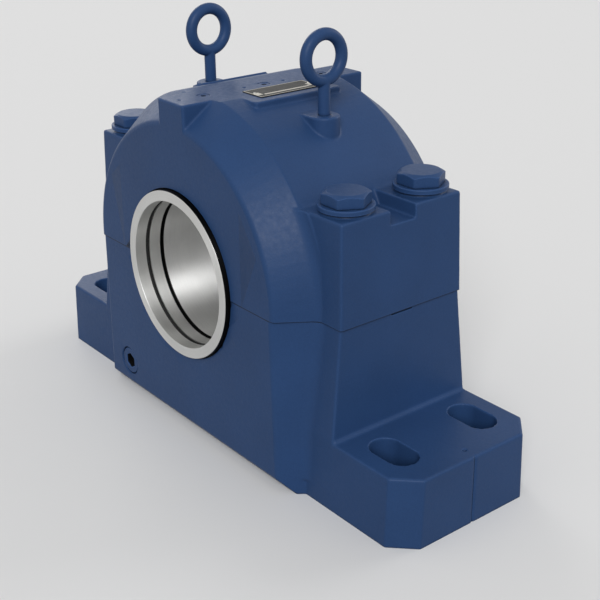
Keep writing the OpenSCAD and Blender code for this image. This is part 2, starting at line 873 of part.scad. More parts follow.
module eye_bolts() {
    color("midnightblue")
    for (i = [-1, 1])
        translate([i * eye_x / 2, 0, 0])
            union() {
                translate([0, 0, eye_z])
                    rotate([0, 90, 0])
                        rotate_extrude()
                            translate([eye_mid_r, 0])
                                circle(d = eye_bar, $fn = 48);
                // Shank, with the flare into the eye
                translate([0, 0, boss_z - eye_thread])
                    cylinder(d = eye_bar, h = eye_z - eye_mid_r - boss_z + eye_thread, $fn = 48);
                translate([0, 0, eye_z - eye_d / 2 - eye_bar / 3])
                    cylinder(d1 = eye_bar, d2 = 1.2 * eye_bar, h = eye_bar / 2, $fn = 48);
            }
}

module grease_plugs() {
    color("midnightblue")
    for (y = [-plug_y, 0, plug_y])
        translate([0, y, plug_z - plug_l])
            difference() {
                cylinder(d = plug_d, h = plug_l);
                translate([0, 0, plug_l / 2])
                    cylinder(d = plug_socket * 2 / sqrt(3), h = plug_l, $fn = 6);
            }
}

module drain_plug() {
    color("midnightblue")
    translate([-drain_x, -drain_face, drain_h])
        rotate([-90, 0, 0])
            difference() {
                rotate_extrude()
                    polygon([
                        [0, 0], [drain_d / 2 - edge_chamfer, 0], [drain_d / 2, edge_chamfer],
                        [drain_d / 2, drain_l], [0, drain_l]]);
                translate([0, 0, -over])
                    rotate([0, 0, 30])
                        cylinder(d = drain_socket * 2 / sqrt(3), h = drain_l / 2 + over, $fn = 6);
            }
}

module nameplate() {
    color("black")
    translate([plate_x, 0, top_z])
        difference() {
            linear_extrude(plate_t)
                polygon(plate_outline(plate_w, plate_l, 2));
            for (j = [-1, 1])
                translate([0, j * plate_rivet_y, -over])
                    cylinder(d = rivet_d / 2 + 2 * seat_gap, h = 2 * over + plate_t);
        }
}

module plate_rivets() {
    color("silver")
    for (j = [-1, 1])
        translate([plate_x, j * plate_rivet_y, top_z]) {
            translate([0, 0, -rivet_grip])
                cylinder(d = rivet_d / 2, h = rivet_grip + plate_t + rivet_d / 10);
            translate([0, 0, plate_t])
                intersection() {
                    translate([0, 0, -rivet_d / 3])
                        sphere(d = rivet_d * 1.2);
                    cylinder(d = rivet_d, h = rivet_d);
                }
        }
}

// Outer ring: a ball-shaped track lets both rows of rollers and the shaft tilt together
module outer_ring() {
    out = seat_r - seat_gap;
    color("silver")
    difference() {
        turned()
            polygon([
                [track_r / 2, -bearing_face], [out - edge_chamfer, -bearing_face],
                [out, edge_chamfer - bearing_face], [out, bearing_face - edge_chamfer],
                [out - edge_chamfer, bearing_face], [track_r / 2, bearing_face]]);
        translate([0, 0, centre_h])
            sphere(r = track_r);
        turned()
            translate([out - grease_groove_depth, -grease_groove_w / 2])
                square([2 * grease_groove_depth, grease_groove_w]);
        for (a = [0, 120, 240])
            translate([0, 0, centre_h])
                rotate([0, a, 0])
                    cylinder(d = grease_hole_d, h = bearing_od);
    }
}

// Inner ring: two hollow tracks that follow the rollers' barrel shape, on a tapered bore
module inner_ring() {
    rise = edge_chamfer / taper / 2;
    color("silver")
    turned()
        difference() {
            polygon([
                [bore_small_r + edge_chamfer, -bearing_face],
                [land_r - edge_chamfer, -bearing_face], [land_r, edge_chamfer - bearing_face],
                [land_r, bearing_face - edge_chamfer], [land_r - edge_chamfer, bearing_face],
                [bore_big_r + edge_chamfer, bearing_face],
                [bore_big_r - rise, bearing_face - edge_chamfer],
                [bore_small_r + rise, edge_chamfer - bearing_face]]);
            for (i = [-1, 1])
                intersection() {
                    translate([inner_track_r, i * inner_track_y])
                        circle(r = inner_track_arc);
                    translate([0, i > 0 ? land_y : -land_y - bearing_w])
                        square([track_r, bearing_w]);
                }
        }
}

// Guide ring: floats on the inner ring and keeps the two rows apart. Its sides are as
// steep as the rollers' inner ends.
module guide_ring() {
    color("silver")
    turned()
        polygon([
            for (p = [[guide_in, -1], [guide_out, -1], [guide_out, 1], [guide_in, 1]])
                [p[0], p[1] * (p[0] * sin(contact_angle) - roller_l / 2 - run_gap)
                       / cos(contact_angle)]]);
}

// Places a piece at one roller of the front row, with the roller's axis along Z
module at_roller(i) {
    translate([0, 0, centre_h])
        rotate([0, 360 / roller_count * i, 0])
            translate([0, -roller_y, roller_r])
                rotate([contact_angle - 90, 0, 0])
                    children();
}

// Barrel-shaped roller. Its arc has its centre in the middle of the bearing.
module roller() {
    half = roller_l / 2;
    big = roller_d / 2;
    flat_r = roller_end_r - roller_chamfer;
    start = half - (big - flat_r);
    rotate_extrude()
        intersection() {
            translate([-roller_out, 0])
                circle(r = barrel_arc);
            polygon([[0, -half], [flat_r, -half], [big, -start], [big, start], [flat_r, half],
                     [0, half]]);
        }
}

// Window cage of one row: a cone of brass with an opening for each roller
module cage() {
    low = -roller_l / 2 - window_gap - cage_outer_rim;
    high = roller_l / 2 + window_gap + cage_inner_rim;
    way = [cos(contact_angle), sin(contact_angle)];
    difference() {
        turned()
            polygon([
                for (p = [[low, -0.45], [low, 0.55], [high, 0.55], [high, -0.45]])
                    [roller_r + p[0] * way[1] + p[1] * cage_wall * way[0],
                     -roller_y + p[0] * way[0] - p[1] * cage_wall * way[1]]]);
        for (i = [1:roller_count])
            at_roller(i)
                cylinder(d = roller_d + 2 * window_gap, h = roller_l + 2 * window_gap,
                         center = true);
    }
}

module cage_front() {
    color("goldenrod")
    cage();
}

module cage_back() {
    color("goldenrod")
    mirror([0, 1, 0])
        cage();
}

module roller_front(i) {
    color("silver")
    at_roller(i)
        roller();
}

module roller_back(i) {
    color("silver")
    mirror([0, 1, 0])
        at_roller(i)
            roller();
}

// Open ring that fills the seat beside the bearing and stops it moving along the shaft
module locating_ring() {
    difference() {
        turned()
            translate([shoulder_d / 2, -shoulder_y])
                square([seat_r - seat_gap - shoulder_d / 2, locating_w]);
        translate([-locating_slit / 2, -housing_w, centre_h])
            cube([locating_slit, 2 * housing_w, bearing_od]);
    }
}

module locating_ring_front() {
    color("dimgray")
    locating_ring();
}

module locating_ring_back() {
    color("dimgray")
    mirror([0, 1, 0])
        locating_ring();
}

// Slit sleeve, tapered outside to wedge between the shaft and the inner ring
module adapter_sleeve() {
    color("silver")
    difference() {
        turned()
            polygon([
                [sleeve_r, sleeve_mouth - sleeve_end], [sleeve_r + sleeve_mouth, -sleeve_end],
                [sleeve_out - edge_chamfer, -sleeve_end],
                [sleeve_out, edge_chamfer - sleeve_end], [sleeve_out, -bearing_face],
                [sleeve_out + (sleeve_tail + bearing_face) / taper / 2, sleeve_tail],
                [sleeve_r, sleeve_tail]]);
        translate([-sleeve_slit / 2, -housing_w, centre_h])
            cube([sleeve_slit, 2 * housing_w, bearing_bore]);
    }
}

module lock_nut() {
    out = nut_d / 2;
    color("dimgray")
    difference() {
        turned()
            polygon([
                [nut_bore_r, -nut_face], [out - 2 * edge_chamfer, -nut_face],
                [out, 2 * edge_chamfer - nut_face], [out, -bearing_face - edge_chamfer],
                [out - edge_chamfer, -bearing_face], [nut_bore_r, -bearing_face]]);
        for (i = [0:nut_slots - 1])
            translate([0, 0, centre_h])
                rotate([0, (i + 0.5) * 360 / nut_slots, 0])
                    translate([-nut_slot_w / 2, -nut_face - over, nut_root])
                        cube([nut_slot_w, nut_w + 2 * over, out]);
        translate([0, -nut_face - over, centre_h + screw_r])
            rotate([-90, 0, 0])
                cylinder(d = clip_screw_d + 2 * seat_gap, h = screw_l + hole_room + over);
    }
}

// Clip on the nut's face, whose tongue sits in the sleeve's slit
module locking_clip() {
    tongue = sleeve_slit - 2 * run_gap;
    tongue_low = sleeve_r + hole_room;
    color("dimgray")
    translate([0, -nut_face - clip_t, centre_h])
        difference() {
            union() {
                translate([-clip_w / 2, 0, nut_bore_r + over])
                    cube([clip_w, clip_t, nut_root - nut_bore_r - over]);
                translate([-tongue / 2, 0, tongue_low])
                    cube([tongue, clip_t, screw_r - tongue_low]);
            }
            translate([0, -over, screw_r])
                rotate([-90, 0, 0])
                    cylinder(d = clip_screw_d + 2 * run_gap, h = clip_t + 2 * over);
        }
}

module clip_screw() {
    color("silver")
    translate([0, -nut_face - clip_t, centre_h + screw_r])
        rotate([90, 0, 0])
            union() {
                hex_head(screw_flats, screw_head_h);
                translate([0, 0, -clip_t - screw_l])
                    cylinder(d = clip_screw_d, h = clip_t + screw_l + over);
            }
}

// Seal ring that turns with the shaft, with two fins in the housing's grooves
module labyrinth_ring() {
    body_r = seal_d / 2;
    fin_root = (seal_inner_r + body_r) / 2;
    inner_end = fin_y[1] - fin_w / 2 - seal_tail;
    difference() {
        turned()
            union() {
                polygon([
                    [seal_inner_r + edge_chamfer, -seal_end], [body_r - edge_chamfer, -seal_end],
                    [body_r, edge_chamfer - seal_end], [body_r, -inner_end],
                    [seal_inner_r, -inner_end], [seal_inner_r, edge_chamfer - seal_end]]);
                for (y = fin_y)
                    translate([fin_root, -y - fin_w / 2])
                        square([fin_d / 2 - fin_root, fin_w]);
            }
        turned()
            translate([seal_inner_r - over, -cord_y - cord_d / 2 - 2 * seat_gap])
                square([cord_groove_r - seal_inner_r + over, cord_d + 4 * seat_gap]);
    }
}

module labyrinth_ring_front() {
    color("lightgray")
    labyrinth_ring();
}

module labyrinth_ring_back() {
    color("lightgray")
    mirror([0, 1, 0])
        labyrinth_ring();
}

// Rubber cord that grips the shaft and turns the seal ring
module seal_cord() {
    turned()
        translate([cord_r, -cord_y])
            circle(d = cord_d, $fn = 32);
}

module seal_cord_front() {
    color("black")
    seal_cord();
}

module seal_cord_back() {
    color("black")
    mirror([0, 1, 0])
        seal_cord();
}

base();
cap();
cap_bolts();
cap_washers();
dowel_pins();
eye_bolts();
grease_plugs();
drain_plug();
nameplate();
plate_rivets();
outer_ring();
inner_ring();
guide_ring();
cage_front();
cage_back();
locating_ring_front();
locating_ring_back();
adapter_sleeve();
lock_nut();
locking_clip();
clip_screw();
labyrinth_ring_front();
labyrinth_ring_back();
seal_cord_front();
seal_cord_back();
for (i = [1:roller_count]) {
    roller_front(i);
    roller_back(i);
}
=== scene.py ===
import math

import bmesh
import bpy
import numpy as np
from mathutils import Matrix, Vector


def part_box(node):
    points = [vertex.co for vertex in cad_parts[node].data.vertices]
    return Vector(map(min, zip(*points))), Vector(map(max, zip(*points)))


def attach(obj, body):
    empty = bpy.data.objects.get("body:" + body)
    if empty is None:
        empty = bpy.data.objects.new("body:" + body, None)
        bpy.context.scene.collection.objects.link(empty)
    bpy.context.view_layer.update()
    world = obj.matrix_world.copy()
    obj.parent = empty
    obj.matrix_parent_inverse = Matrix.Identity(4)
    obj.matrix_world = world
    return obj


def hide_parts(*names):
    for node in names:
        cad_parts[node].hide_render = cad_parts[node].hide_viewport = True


# A split plummer block for a heavy shaft, as it is put together: the lower casting, the
# bearing on its sleeve, the seals, the upper casting, and what bolts and closes it.
# All in metres, X along the base, Y along the shaft, Z up from the floor.
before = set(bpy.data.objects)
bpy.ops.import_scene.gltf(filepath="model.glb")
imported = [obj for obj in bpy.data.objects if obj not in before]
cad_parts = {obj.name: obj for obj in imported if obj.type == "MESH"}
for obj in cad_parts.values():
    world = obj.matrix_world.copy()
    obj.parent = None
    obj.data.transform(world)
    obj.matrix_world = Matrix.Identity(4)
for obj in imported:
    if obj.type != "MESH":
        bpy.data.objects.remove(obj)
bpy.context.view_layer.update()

# Base casting
# The lower half of the housing: one piece of grey iron from a sand mould, with two slotted
# feet and half of the bearing room. Its outer edges are rounded by the mould, while the
# joint, the underside and the holes are machined and stay crisp. Painted satin blue.
base_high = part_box("base")[1]
joint_z = base_high.z
axis_z = joint_z
end_y = base_high.y
foot_x = base_high.x
grain = 0.0014
mould_passes = 2
casting_faces = 150000
end_skim = 0.0003
stock = 0.006
waste = 50
blue = (0.0215, 0.0560, 0.1500)
# The dark of the painted shade in crevices and of the oil along the joint.
shade_and_oil_colour = (0.003, 0.004, 0.007)


def drawn(name, points, faces):
    """An object from arrays of points and faces, with doubles merged and faces outwards."""
    mesh = bpy.data.meshes.new(name)
    mesh.from_pydata(np.asarray(points).reshape(-1, 3).tolist(), [], [list(f) for f in faces])
    made = bmesh.new()
    made.from_mesh(mesh)
    bmesh.ops.remove_doubles(made, verts=made.verts, dist=1e-6)
    if made.calc_volume(signed=True) < 0:
        bmesh.ops.reverse_faces(made, faces=made.faces)
    made.to_mesh(mesh)
    made.free()
    piece = bpy.data.objects.new(name, mesh)
    bpy.context.scene.collection.objects.link(piece)
    return piece


def grid_faces(rows, columns, rows_close=False, columns_close=True):
    """Four-sided faces between the points of a grid, which may close both ways."""
    number = np.arange(rows * columns).reshape(rows, columns)
    if columns_close:
        number = np.concatenate([number, number[:, :1]], axis=1)
    if rows_close:
        number = np.concatenate([number, number[:1]], axis=0)
    corners = [number[:-1, :-1], number[:-1, 1:], number[1:, 1:], number[1:, :-1]]
    return np.stack(corners, axis=-1).reshape(-1, 4).tolist()


def round_bar(name, radius, low, high, steps=64):
    """Plain bar between two points: a circle of the radius at each end, closed by its caps."""
    low, high = Vector(low), Vector(high)
    turn = (high - low).to_track_quat("Z", "Y").to_matrix()
    angle = np.linspace(0, 2 * np.pi, steps, endpoint=False)
    ring = np.stack([np.cos(angle), np.sin(angle), 0 * angle], axis=-1) * radius
    ring = ring @ np.array(turn).T
    points = np.concatenate([ring + np.array(low), ring + np.array(high)])
    faces = grid_faces(2, steps) + [list(range(steps))[::-1], list(range(steps, 2 * steps))]
    return drawn(name, points, faces)


def block(name, low, high):
    """Plain block between its lowest and its highest corner."""
    points = [(x, y, z) for x in (low[0], high[0]) for y in (low[1], high[1])
              for z in (low[2], high[2])]
    faces = [[0, 1, 3, 2], [4, 6, 7, 5], [0, 4, 5, 1], [2, 3, 7, 6], [0, 2, 6, 4], [1, 5, 7, 3]]
    return drawn(name, points, faces)


def applied(piece):
    """Takes what a piece's modifiers make as its mesh."""
    ready = piece.evaluated_get(bpy.context.evaluated_depsgraph_get())
    mesh = bpy.data.meshes.new_from_object(ready)
    piece.modifiers.clear()
    piece.data = mesh
    return piece


def carved(piece, tool, operation="DIFFERENCE"):
    """Cuts a closed piece with a closed tool, or joins them, and puts the tool away."""
    cut = piece.modifiers.new("cut", "BOOLEAN")
    cut.operation = operation
    cut.solver = "MANIFOLD"
    cut.object = tool
    applied(piece)
    bpy.data.objects.remove(tool)
    return piece


def merged_copy(name, node):
    """A copy of a CAD node's mesh with its loose triangles joined."""
    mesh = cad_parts[node].data.copy()
    made = bmesh.new()
    made.from_mesh(mesh)
    bmesh.ops.remove_doubles(made, verts=made.verts, dist=1e-6)
    made.to_mesh(mesh)
    made.free()
    piece = bpy.data.objects.new(name, mesh)
    bpy.context.scene.collection.objects.link(piece)
    return piece


def as_one(name, pieces):
    """One object from several that don't touch each other."""
    made = bmesh.new()
    for piece in pieces:
        made.from_mesh(piece.data)
        bpy.data.objects.remove(piece)
    mesh = bpy.data.meshes.new(name)
    made.to_mesh(mesh)
    made.free()
    one = bpy.data.objects.new(name, mesh)
    bpy.context.scene.collection.objects.link(one)
    return one


def moved(piece, chosen, shift):
    """Moves the points of a mesh for which chosen(x, y, z) is true."""
    place = np.empty(len(piece.data.vertices) * 3, np.float32)
    piece.data.vertices.foreach_get("co", place)
    place = place.reshape(-1, 3).astype(float)
    picked = chosen(*place.T)
    place[picked] += np.asarray(shift(*place[picked].T)).T
    piece.data.vertices.foreach_set("co", place.ravel().astype(np.float32))
    piece.data.update()
    return piece


def crisp_and_smooth(piece, sharp_degrees=50):
    """Smooth shading that breaks at sharp edges and keeps flat faces flat."""
    piece.data.shade_smooth()
    piece.data.set_sharp_from_angle(angle=math.radians(sharp_degrees))
    even = piece.modifiers.new("even", "WEIGHTED_NORMAL")
    even.keep_sharp = True
    even.mode = "FACE_AREA_WITH_ANGLE"
    even.weight = 70
    return level_shading(applied(piece))


def level_shading(piece, small=4e-5, large=1e-4):
    """Turns the shading of a large face to its own normal, in a share that grows from none
    to all between two areas, because only the faces of a plane are large."""
    mesh = piece.data
    bent = np.empty(len(mesh.loops) * 3, np.float32)
    own = np.empty(len(mesh.polygons) * 3, np.float32)
    area = np.empty(len(mesh.polygons), np.float32)
    corners = np.empty(len(mesh.polygons), np.int32)
    mesh.corner_normals.foreach_get("vector", bent)
    mesh.polygon_normals.foreach_get("vector", own)
    mesh.polygons.foreach_get("area", area)
    mesh.polygons.foreach_get("loop_total", corners)
    face = np.repeat(np.arange(len(area)), corners)
    share = np.clip((area[face] - small) / (large - small), 0, 1)[:, None]
    mixed = bent.reshape(-1, 3) * (1 - share) + own.reshape(-1, 3)[face] * share
    mixed /= np.maximum(np.linalg.norm(mixed, axis=1, keepdims=True), 1e-9)
    mesh.normals_split_custom_set(mixed.tolist())
    return piece


def moulded(piece, cell, passes):
    """Rebuilds a closed form in small cells and averages them, which rounds every edge."""
    cells = piece.modifiers.new("cells", "REMESH")
    cells.mode = "VOXEL"
    cells.voxel_size = cell
    soften = piece.modifiers.new("soften", "SMOOTH")
    soften.factor = 0.5
    soften.iterations = passes
    return applied(piece)


def sand_cast(name, node, fillers, marks, stock_z, open_faces):
    """A casting from a CAD node. The hollows are filled, the form is rebuilt in small cells
    and smoothed, so that every outer edge is rounded, its ends are skimmed flat, and the
    hollows, the marks and the joint are then cut again. What has to be cut is each filler
    less the node's own solid, with the faces where it comes out moved past the surface."""
    rough = merged_copy(name, node)
    made = bmesh.new()
    made.from_mesh(rough.data)
    for level, step in stock_z:
        flat = [f for f in made.faces if all(abs(v.co.z - level) < 1e-6 for v in f.verts)]
        grown = bmesh.ops.extrude_face_region(made, geom=flat)["geom"]
        bmesh.ops.translate(made, verts=[v for v in grown if isinstance(v, bmesh.types.BMVert)],
                            vec=(0, 0, step))
    for filler in fillers:
        made.from_mesh(filler.data)
    made.to_mesh(rough.data)
    made.free()
    moulded(rough, grain, mould_passes)
    fewer = rough.modifiers.new("fewer", "DECIMATE")
    fewer.ratio = min(1.0, casting_faces / (2 * len(rough.data.polygons)))
    applied(rough)
    moved(rough, lambda x, y, z: abs(y) > end_y - end_skim,
          lambda x, y, z: (0 * x, np.sign(y) * end_y - y, 0 * z))
    hollows = carved(as_one("hollows", fillers + marks), merged_copy("solid", node))
    for chosen, shift in open_faces:
        moved(hollows, chosen, shift)
    carved(rough, hollows)
    for level, step in stock_z:
        low, high = sorted((level, level + waste * step))
        carved(rough, block("trim", (-1, -1, low), (1, 1, high)))
    return crisp_and_smooth(rough)


def shader_node(tree, kind, inputs=(), **settings):
    """A shader node with its settings, and each input set to a value or linked to a socket."""
    made = tree.nodes.new("ShaderNode" + kind)
    for key, value in settings.items():
        setattr(made, key, value)
    for key, value in dict(inputs).items():
        if isinstance(value, bpy.types.NodeSocket):
            tree.links.new(value, made.inputs[key])
        else:
            made.inputs[key].default_value = value
    return made


def sum_of(tree, operation, *values):
    """One number worked out from others."""
    return shader_node(tree, "Math", dict(enumerate(values)), operation=operation).outputs[0]


def noise(tree, place, scale, detail=3.0, rough=0.55):
    """Noise of so many grains to the metre, from 0 to 1."""
    return shader_node(tree, "TexNoise", {
        "Vector": place, "Scale": scale, "Detail": detail, "Roughness": rough}).outputs["Fac"]


def between(tree, value, low, high, start=0.3, stop=0.7):
    """Spreads the middle of a noise over a range of numbers."""
    return shader_node(tree, "MapRange", {
        "Value": value, "From Min": start, "From Max": stop,
        "To Min": low, "To Max": high}).outputs["Result"]


def tones(tree, value, *stops):
    """Colours by value, from pairs of place and colour."""
    ramp = shader_node(tree, "ValToRGB", {"Fac": value})
    while len(ramp.color_ramp.elements) < len(stops):
        ramp.color_ramp.elements.new(0.5)
    for element, (place, colour) in zip(ramp.color_ramp.elements, stops):
        element.position = place
        element.color = (*colour, 1)
    return ramp.outputs["Color"]


def relief(tree, height, depth, strength=1.0, under=None):
    """Surface relief of a depth in metres, on top of another relief."""
    inputs = {"Height": height, "Distance": depth, "Strength": strength}
    if under is not None:
        inputs["Normal"] = under
    return shader_node(tree, "Bump", inputs).outputs["Normal"]


def new_material(name):
    """An empty material, its node tree, its shader and its Object coordinates."""
    made = bpy.data.materials.new(name)
    made.use_nodes = True
    tree = made.node_tree
    place = shader_node(tree, "TexCoord").outputs["Object"]
    return made, tree, tree.nodes["Principled BSDF"], place


def machine_paint(name, colour, sand=1.0):
    """Satin machine paint: broad soft patches of tone, an orange-peel skin, and under it the
    grains of the mould's sand. On outer edges it is paler, partly as wear where it is thin
    and rubbed and partly as a painted highlight: they are found by how far a normal taken
    over a few millimetres leans from the surface's. In crevices, found by how closed in
    they are, it is painted darker as shade, and along the joint it is dark with oil."""
    made, tree, shader, place = new_material(name)
    darker = tuple(0.90 * c for c in colour)
    lighter = tuple(1.10 * c for c in colour)
    patches = noise(tree, place, 9, 4)
    grains = noise(tree, place, 520, 4, 0.6)
    peel = noise(tree, place, 170, 2)
    speck = noise(tree, place, 900, 2)
    tone = between(tree, sum_of(tree, "ADD", patches, grains), 0, 1, 0.7, 1.3)
    coat = tones(tree, tone, (0.0, darker), (1.0, lighter))
    # Paler outer edges: partly wear where the paint is thin and rubbed, partly a painted highlight.
    rounded = shader_node(tree, "Bevel", {"Radius": 0.0022}, samples=3).outputs[0]
    plain = shader_node(tree, "NewGeometry").outputs["Normal"]
    lean = shader_node(tree, "VectorMath", {0: rounded, 1: plain},
                       operation="DOT_PRODUCT").outputs["Value"]
    openness = shader_node(tree, "AmbientOcclusion", {"Distance": 0.004}, samples=3).outputs["AO"]
    wear_and_highlight = sum_of(tree, "MULTIPLY", between(tree, lean, 1, 0, 0.80, 0.995),
                  between(tree, grains, 0.6, 0.9))
    wear_and_highlight = sum_of(tree, "MULTIPLY", wear_and_highlight, between(tree, openness, 0, 1, 0.75, 0.95))
    rubbed_and_highlit = (*tuple(2.1 * c + 0.016 for c in colour), 1)
    paint = shader_node(tree, "Mix", {0: wear_and_highlight, 6: coat, 7: rubbed_and_highlit}, data_type="RGBA").outputs[2]
    # Darker in crevices, by how closed in they are: painted shade.
    shade_and_oil = between(tree, openness, 1, 0, 0.30, 0.72)
    # A thin dark line of oil along the joint.
    height = shader_node(tree, "SeparateXYZ", {"Vector": place}).outputs["Z"]
    off_joint = sum_of(tree, "ABSOLUTE", sum_of(tree, "SUBTRACT", height, joint_z))
    shade_and_oil = sum_of(tree, "MAXIMUM", shade_and_oil, between(tree, off_joint, 0.9, 0, 0.0004, 0.0010))
    paint = shader_node(tree, "Mix", {0: shade_and_oil, 6: paint, 7: (*shade_and_oil_colour, 1)}, data_type="RGBA")
    tree.links.new(paint.outputs[2], shader.inputs["Base Color"])
    tree.links.new(between(tree, peel, 0.38, 0.48), shader.inputs["Roughness"])
    skin = relief(tree, grains, 0.00020 * sand, 0.7)
    skin = relief(tree, peel, 0.00026 * sand, 0.5, skin)
    skin = relief(tree, speck, 0.00005, 0.5, skin)
    tree.links.new(skin, shader.inputs["Normal"])
    shader.inputs["Specular IOR Level"].default_value = 0.15
    return made


def dressed(piece, material, body, slot, *replaced):
    """Gives a piece its material and its body, and hides the CAD nodes it stands for. Its slot is
    not used.
    """
    piece.data.materials.clear()
    piece.data.materials.append(material)
    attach(piece, body)
    if replaced:
        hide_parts(*replaced)
    return piece


# A point within a hair of a face lies on it, and a filler reaches past its hollow by the spare.
hair = 0.0005
spare = 0.006
bolt_flats = 0.054
bolt_low, bolt_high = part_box("cap_bolts")
bolt_x = bolt_high.x - bolt_flats / math.sqrt(3)
bolt_y = bolt_high.y - bolt_flats / 2
bolt_hole_r = bolt_flats * 0.4
dowel_low, dowel_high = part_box("dowel_pins")
dowel_r = dowel_high.y
dowel_x = dowel_high.x - dowel_r
drain_low, drain_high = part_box("drain_plug")
drain_x = (drain_low.x + drain_high.x) / 2
drain_z = (drain_low.z + drain_high.z) / 2
drain_r = (drain_high.x - drain_low.x) / 2
overhang = 0.0022
wall_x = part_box("cap")[1].x - overhang
foot_h = 0.0938
centre_mark_deep = 0.003
centre_mark_half = 0.004
foot_dimple_x = foot_x - 0.0185
foot_dimple_r = 0.004
foot_dimple_deep = 0.005
notch_deep = 0.010
notch_half = 0.022
notch_high = 0.004
room_half = 0.110
room_x = 0.185
room_floor = 0.030
mouth_r = 0.140


def bearing_room(name, body):
    """The space round the bearing: a body out to the grease rooms, and a bar at each end."""
    for side in (-1, 1):
        mouth = round_bar(name, mouth_r, (0, side * room_half * 0.9, axis_z),
                          (0, side * end_y, axis_z), 128)
        carved(body, mouth, "UNION")
    return body


base_fillers = [bearing_room("mouth", block(
    "room", (-room_x, -room_half, room_floor), (room_x, room_half, joint_z)))]
base_fillers.append(round_bar("drain", drain_r + spare, (drain_x, -end_y, drain_z),
                              (drain_x, drain_high.y + spare, drain_z)))
base_marks = []
for side in (-1, 1):
    base_fillers.append(round_bar("dowel_hole", dowel_r + spare / 2,
                                  (side * dowel_x, 0, dowel_low.z - spare),
                                  (side * dowel_x, 0, joint_z)))
    for end in (-1, 1):
        base_fillers.append(round_bar("bolt_hole", bolt_hole_r,
                                      (side * bolt_x, end * bolt_y, bolt_low.z - spare),
                                      (side * bolt_x, end * bolt_y, joint_z)))
    mark_x = sorted((side * (foot_x - centre_mark_deep), side * foot_x))
    base_marks.append(block("centre_mark", (mark_x[0], -centre_mark_half, 0),
                            (mark_x[1], centre_mark_half, foot_h)))
    base_marks.append(round_bar("dimple", foot_dimple_r,
                                (side * foot_dimple_x, 0, foot_h - foot_dimple_deep),
                                (side * foot_dimple_x, 0, foot_h), 24))
    notch_x = sorted((side * (wall_x - notch_deep), side * wall_x))
    base_marks.append(block("lever_notch", (notch_x[0], -notch_half, joint_z - notch_high),
                            (notch_x[1], notch_half, joint_z)))

base_casting = sand_cast(
    "base_casting", "base", base_fillers, base_marks,
    [(joint_z, stock), (0.0, -stock)],
    [(lambda x, y, z: abs(y) > end_y - hair, lambda x, y, z: (0 * x, np.sign(y) * stock, 0 * z)),
     (lambda x, y, z: z > joint_z - hair, lambda x, y, z: (0 * x, 0 * y, 0 * z + 2 * stock)),
     (lambda x, y, z: abs(x) > foot_x - hair, lambda x, y, z: (np.sign(x) * stock, 0 * y, 0 * z)),
     (lambda x, y, z: (abs(x) > wall_x - hair) & (abs(y) < notch_half + spare)
      & (z > joint_z - spare),
      lambda x, y, z: (np.sign(x) * stock, 0 * y, 0 * z)),
     (lambda x, y, z: (abs(x) > wall_x + stock + hair) & (z > foot_h - hair),
      lambda x, y, z: (0 * x, 0 * y, 0 * z + stock)),
     (lambda x, y, z: z < hair, lambda x, y, z: (0 * x, 0 * y, 0 * z - stock))])
cast_paint = machine_paint("cast_paint", blue)
dressed(base_casting, cast_paint, "housing", "blue_paint", "base")

# Dowel pins
# Two ground steel pins, pressed half into the base, that set the cap in its place.
steel_grey = (0.55, 0.55, 0.56)


def worked_metal(name, colour, marks, rough, depth=0.00002):
    """Machined metal: fine marks along one way of the coordinates, given as grains to the
    metre in X, Y and Z, with slow changes of tone and gloss."""
    made, tree, shader, place = new_material(name)
    stretched = shader_node(tree, "VectorMath", {0: place, 1: marks}, operation="MULTIPLY")
    lines = noise(tree, stretched.outputs[0], 1.0, 3, 0.6)
    cloud = noise(tree, place, 22, 3)
    tone = between(tree, sum_of(tree, "ADD", lines, cloud), 0, 1, 0.7, 1.3)
    dull = tuple(0.84 * c for c in colour)
    bright = tuple(min(1, 1.12 * c) for c in colour)
    tree.links.new(tones(tree, tone, (0.0, dull), (1.0, bright)), shader.inputs["Base Color"])
    tree.links.new(between(tree, lines, rough - 0.06, rough + 0.08), shader.inputs["Roughness"])
    tree.links.new(relief(tree, lines, depth, 0.6), shader.inputs["Normal"])
    shader.inputs["Metallic"].default_value = 1.0
    return made


def finished(material, *names):
    """Gives CAD nodes whose shape stays a material of their own."""
    for name in names:
        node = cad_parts[name]
        node.data.materials.clear()
        node.data.materials.append(material)


finished(worked_metal("ground_pin", steel_grey, (900, 900, 60), 0.26), "dowel_pins")

# Spherical roller bearing
# Two rows of seventeen barrel rollers run between an inner ring with two hollow tracks and
# an outer ring with one ball-shaped track. Ground bearing steel, brass window cages.
rollers_in_row = 17
roller_nodes = ["roller_%s_%d" % (row, i + 1) for row in ("front", "back")
                for i in range(rollers_in_row)]
finished(worked_metal("ground_ring", (0.62, 0.62, 0.64), (90, 1400, 90), 0.20), "outer_ring",
         "inner_ring", "guide_ring")
finished(worked_metal("polished_roller", (0.66, 0.66, 0.68), (240, 700, 240), 0.12, 0.00001),
         *roller_nodes)
finished(worked_metal("cage_brass", (0.60, 0.43, 0.17), (160, 1100, 160), 0.30), "cage_front",
         "cage_back")

# Locating rings
# Two open rings of turned iron that fill the seat beside the bearing and hold it in place.
finished(worked_metal("turned_iron", (0.20, 0.20, 0.21), (140, 1200, 140), 0.45, 0.00004),
         "locating_ring_front", "locating_ring_back")

# Adapter sleeve, lock nut and clip
# A slit steel sleeve, tapered outside, is drawn into the inner ring by its nut and grips
# the shaft. A bent clip with a hexagon screw keeps the nut from turning. Its bore is
# ground bright, and the threaded end has a turned thread of four millimetres' pitch.
sleeve_low, sleeve_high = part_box("adapter_sleeve")
sleeve_bore = 0.100
sleeve_out = 0.10995
sleeve_mouth = 0.0006
sleeve_rim = 0.0008
thread_pitch = 0.004
thread_depth = 0.0020
thread_start = sleeve_low.y + 0.0015
thread_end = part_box("lock_nut")[0].y + 0.030
taper = 1 / 24
taper_y = -0.060
slit = 0.005
round_steps = 288
# Near black for painted shade and a painted dark reflection on turned steel.
painted_dark = (0.012, 0.012, 0.012)


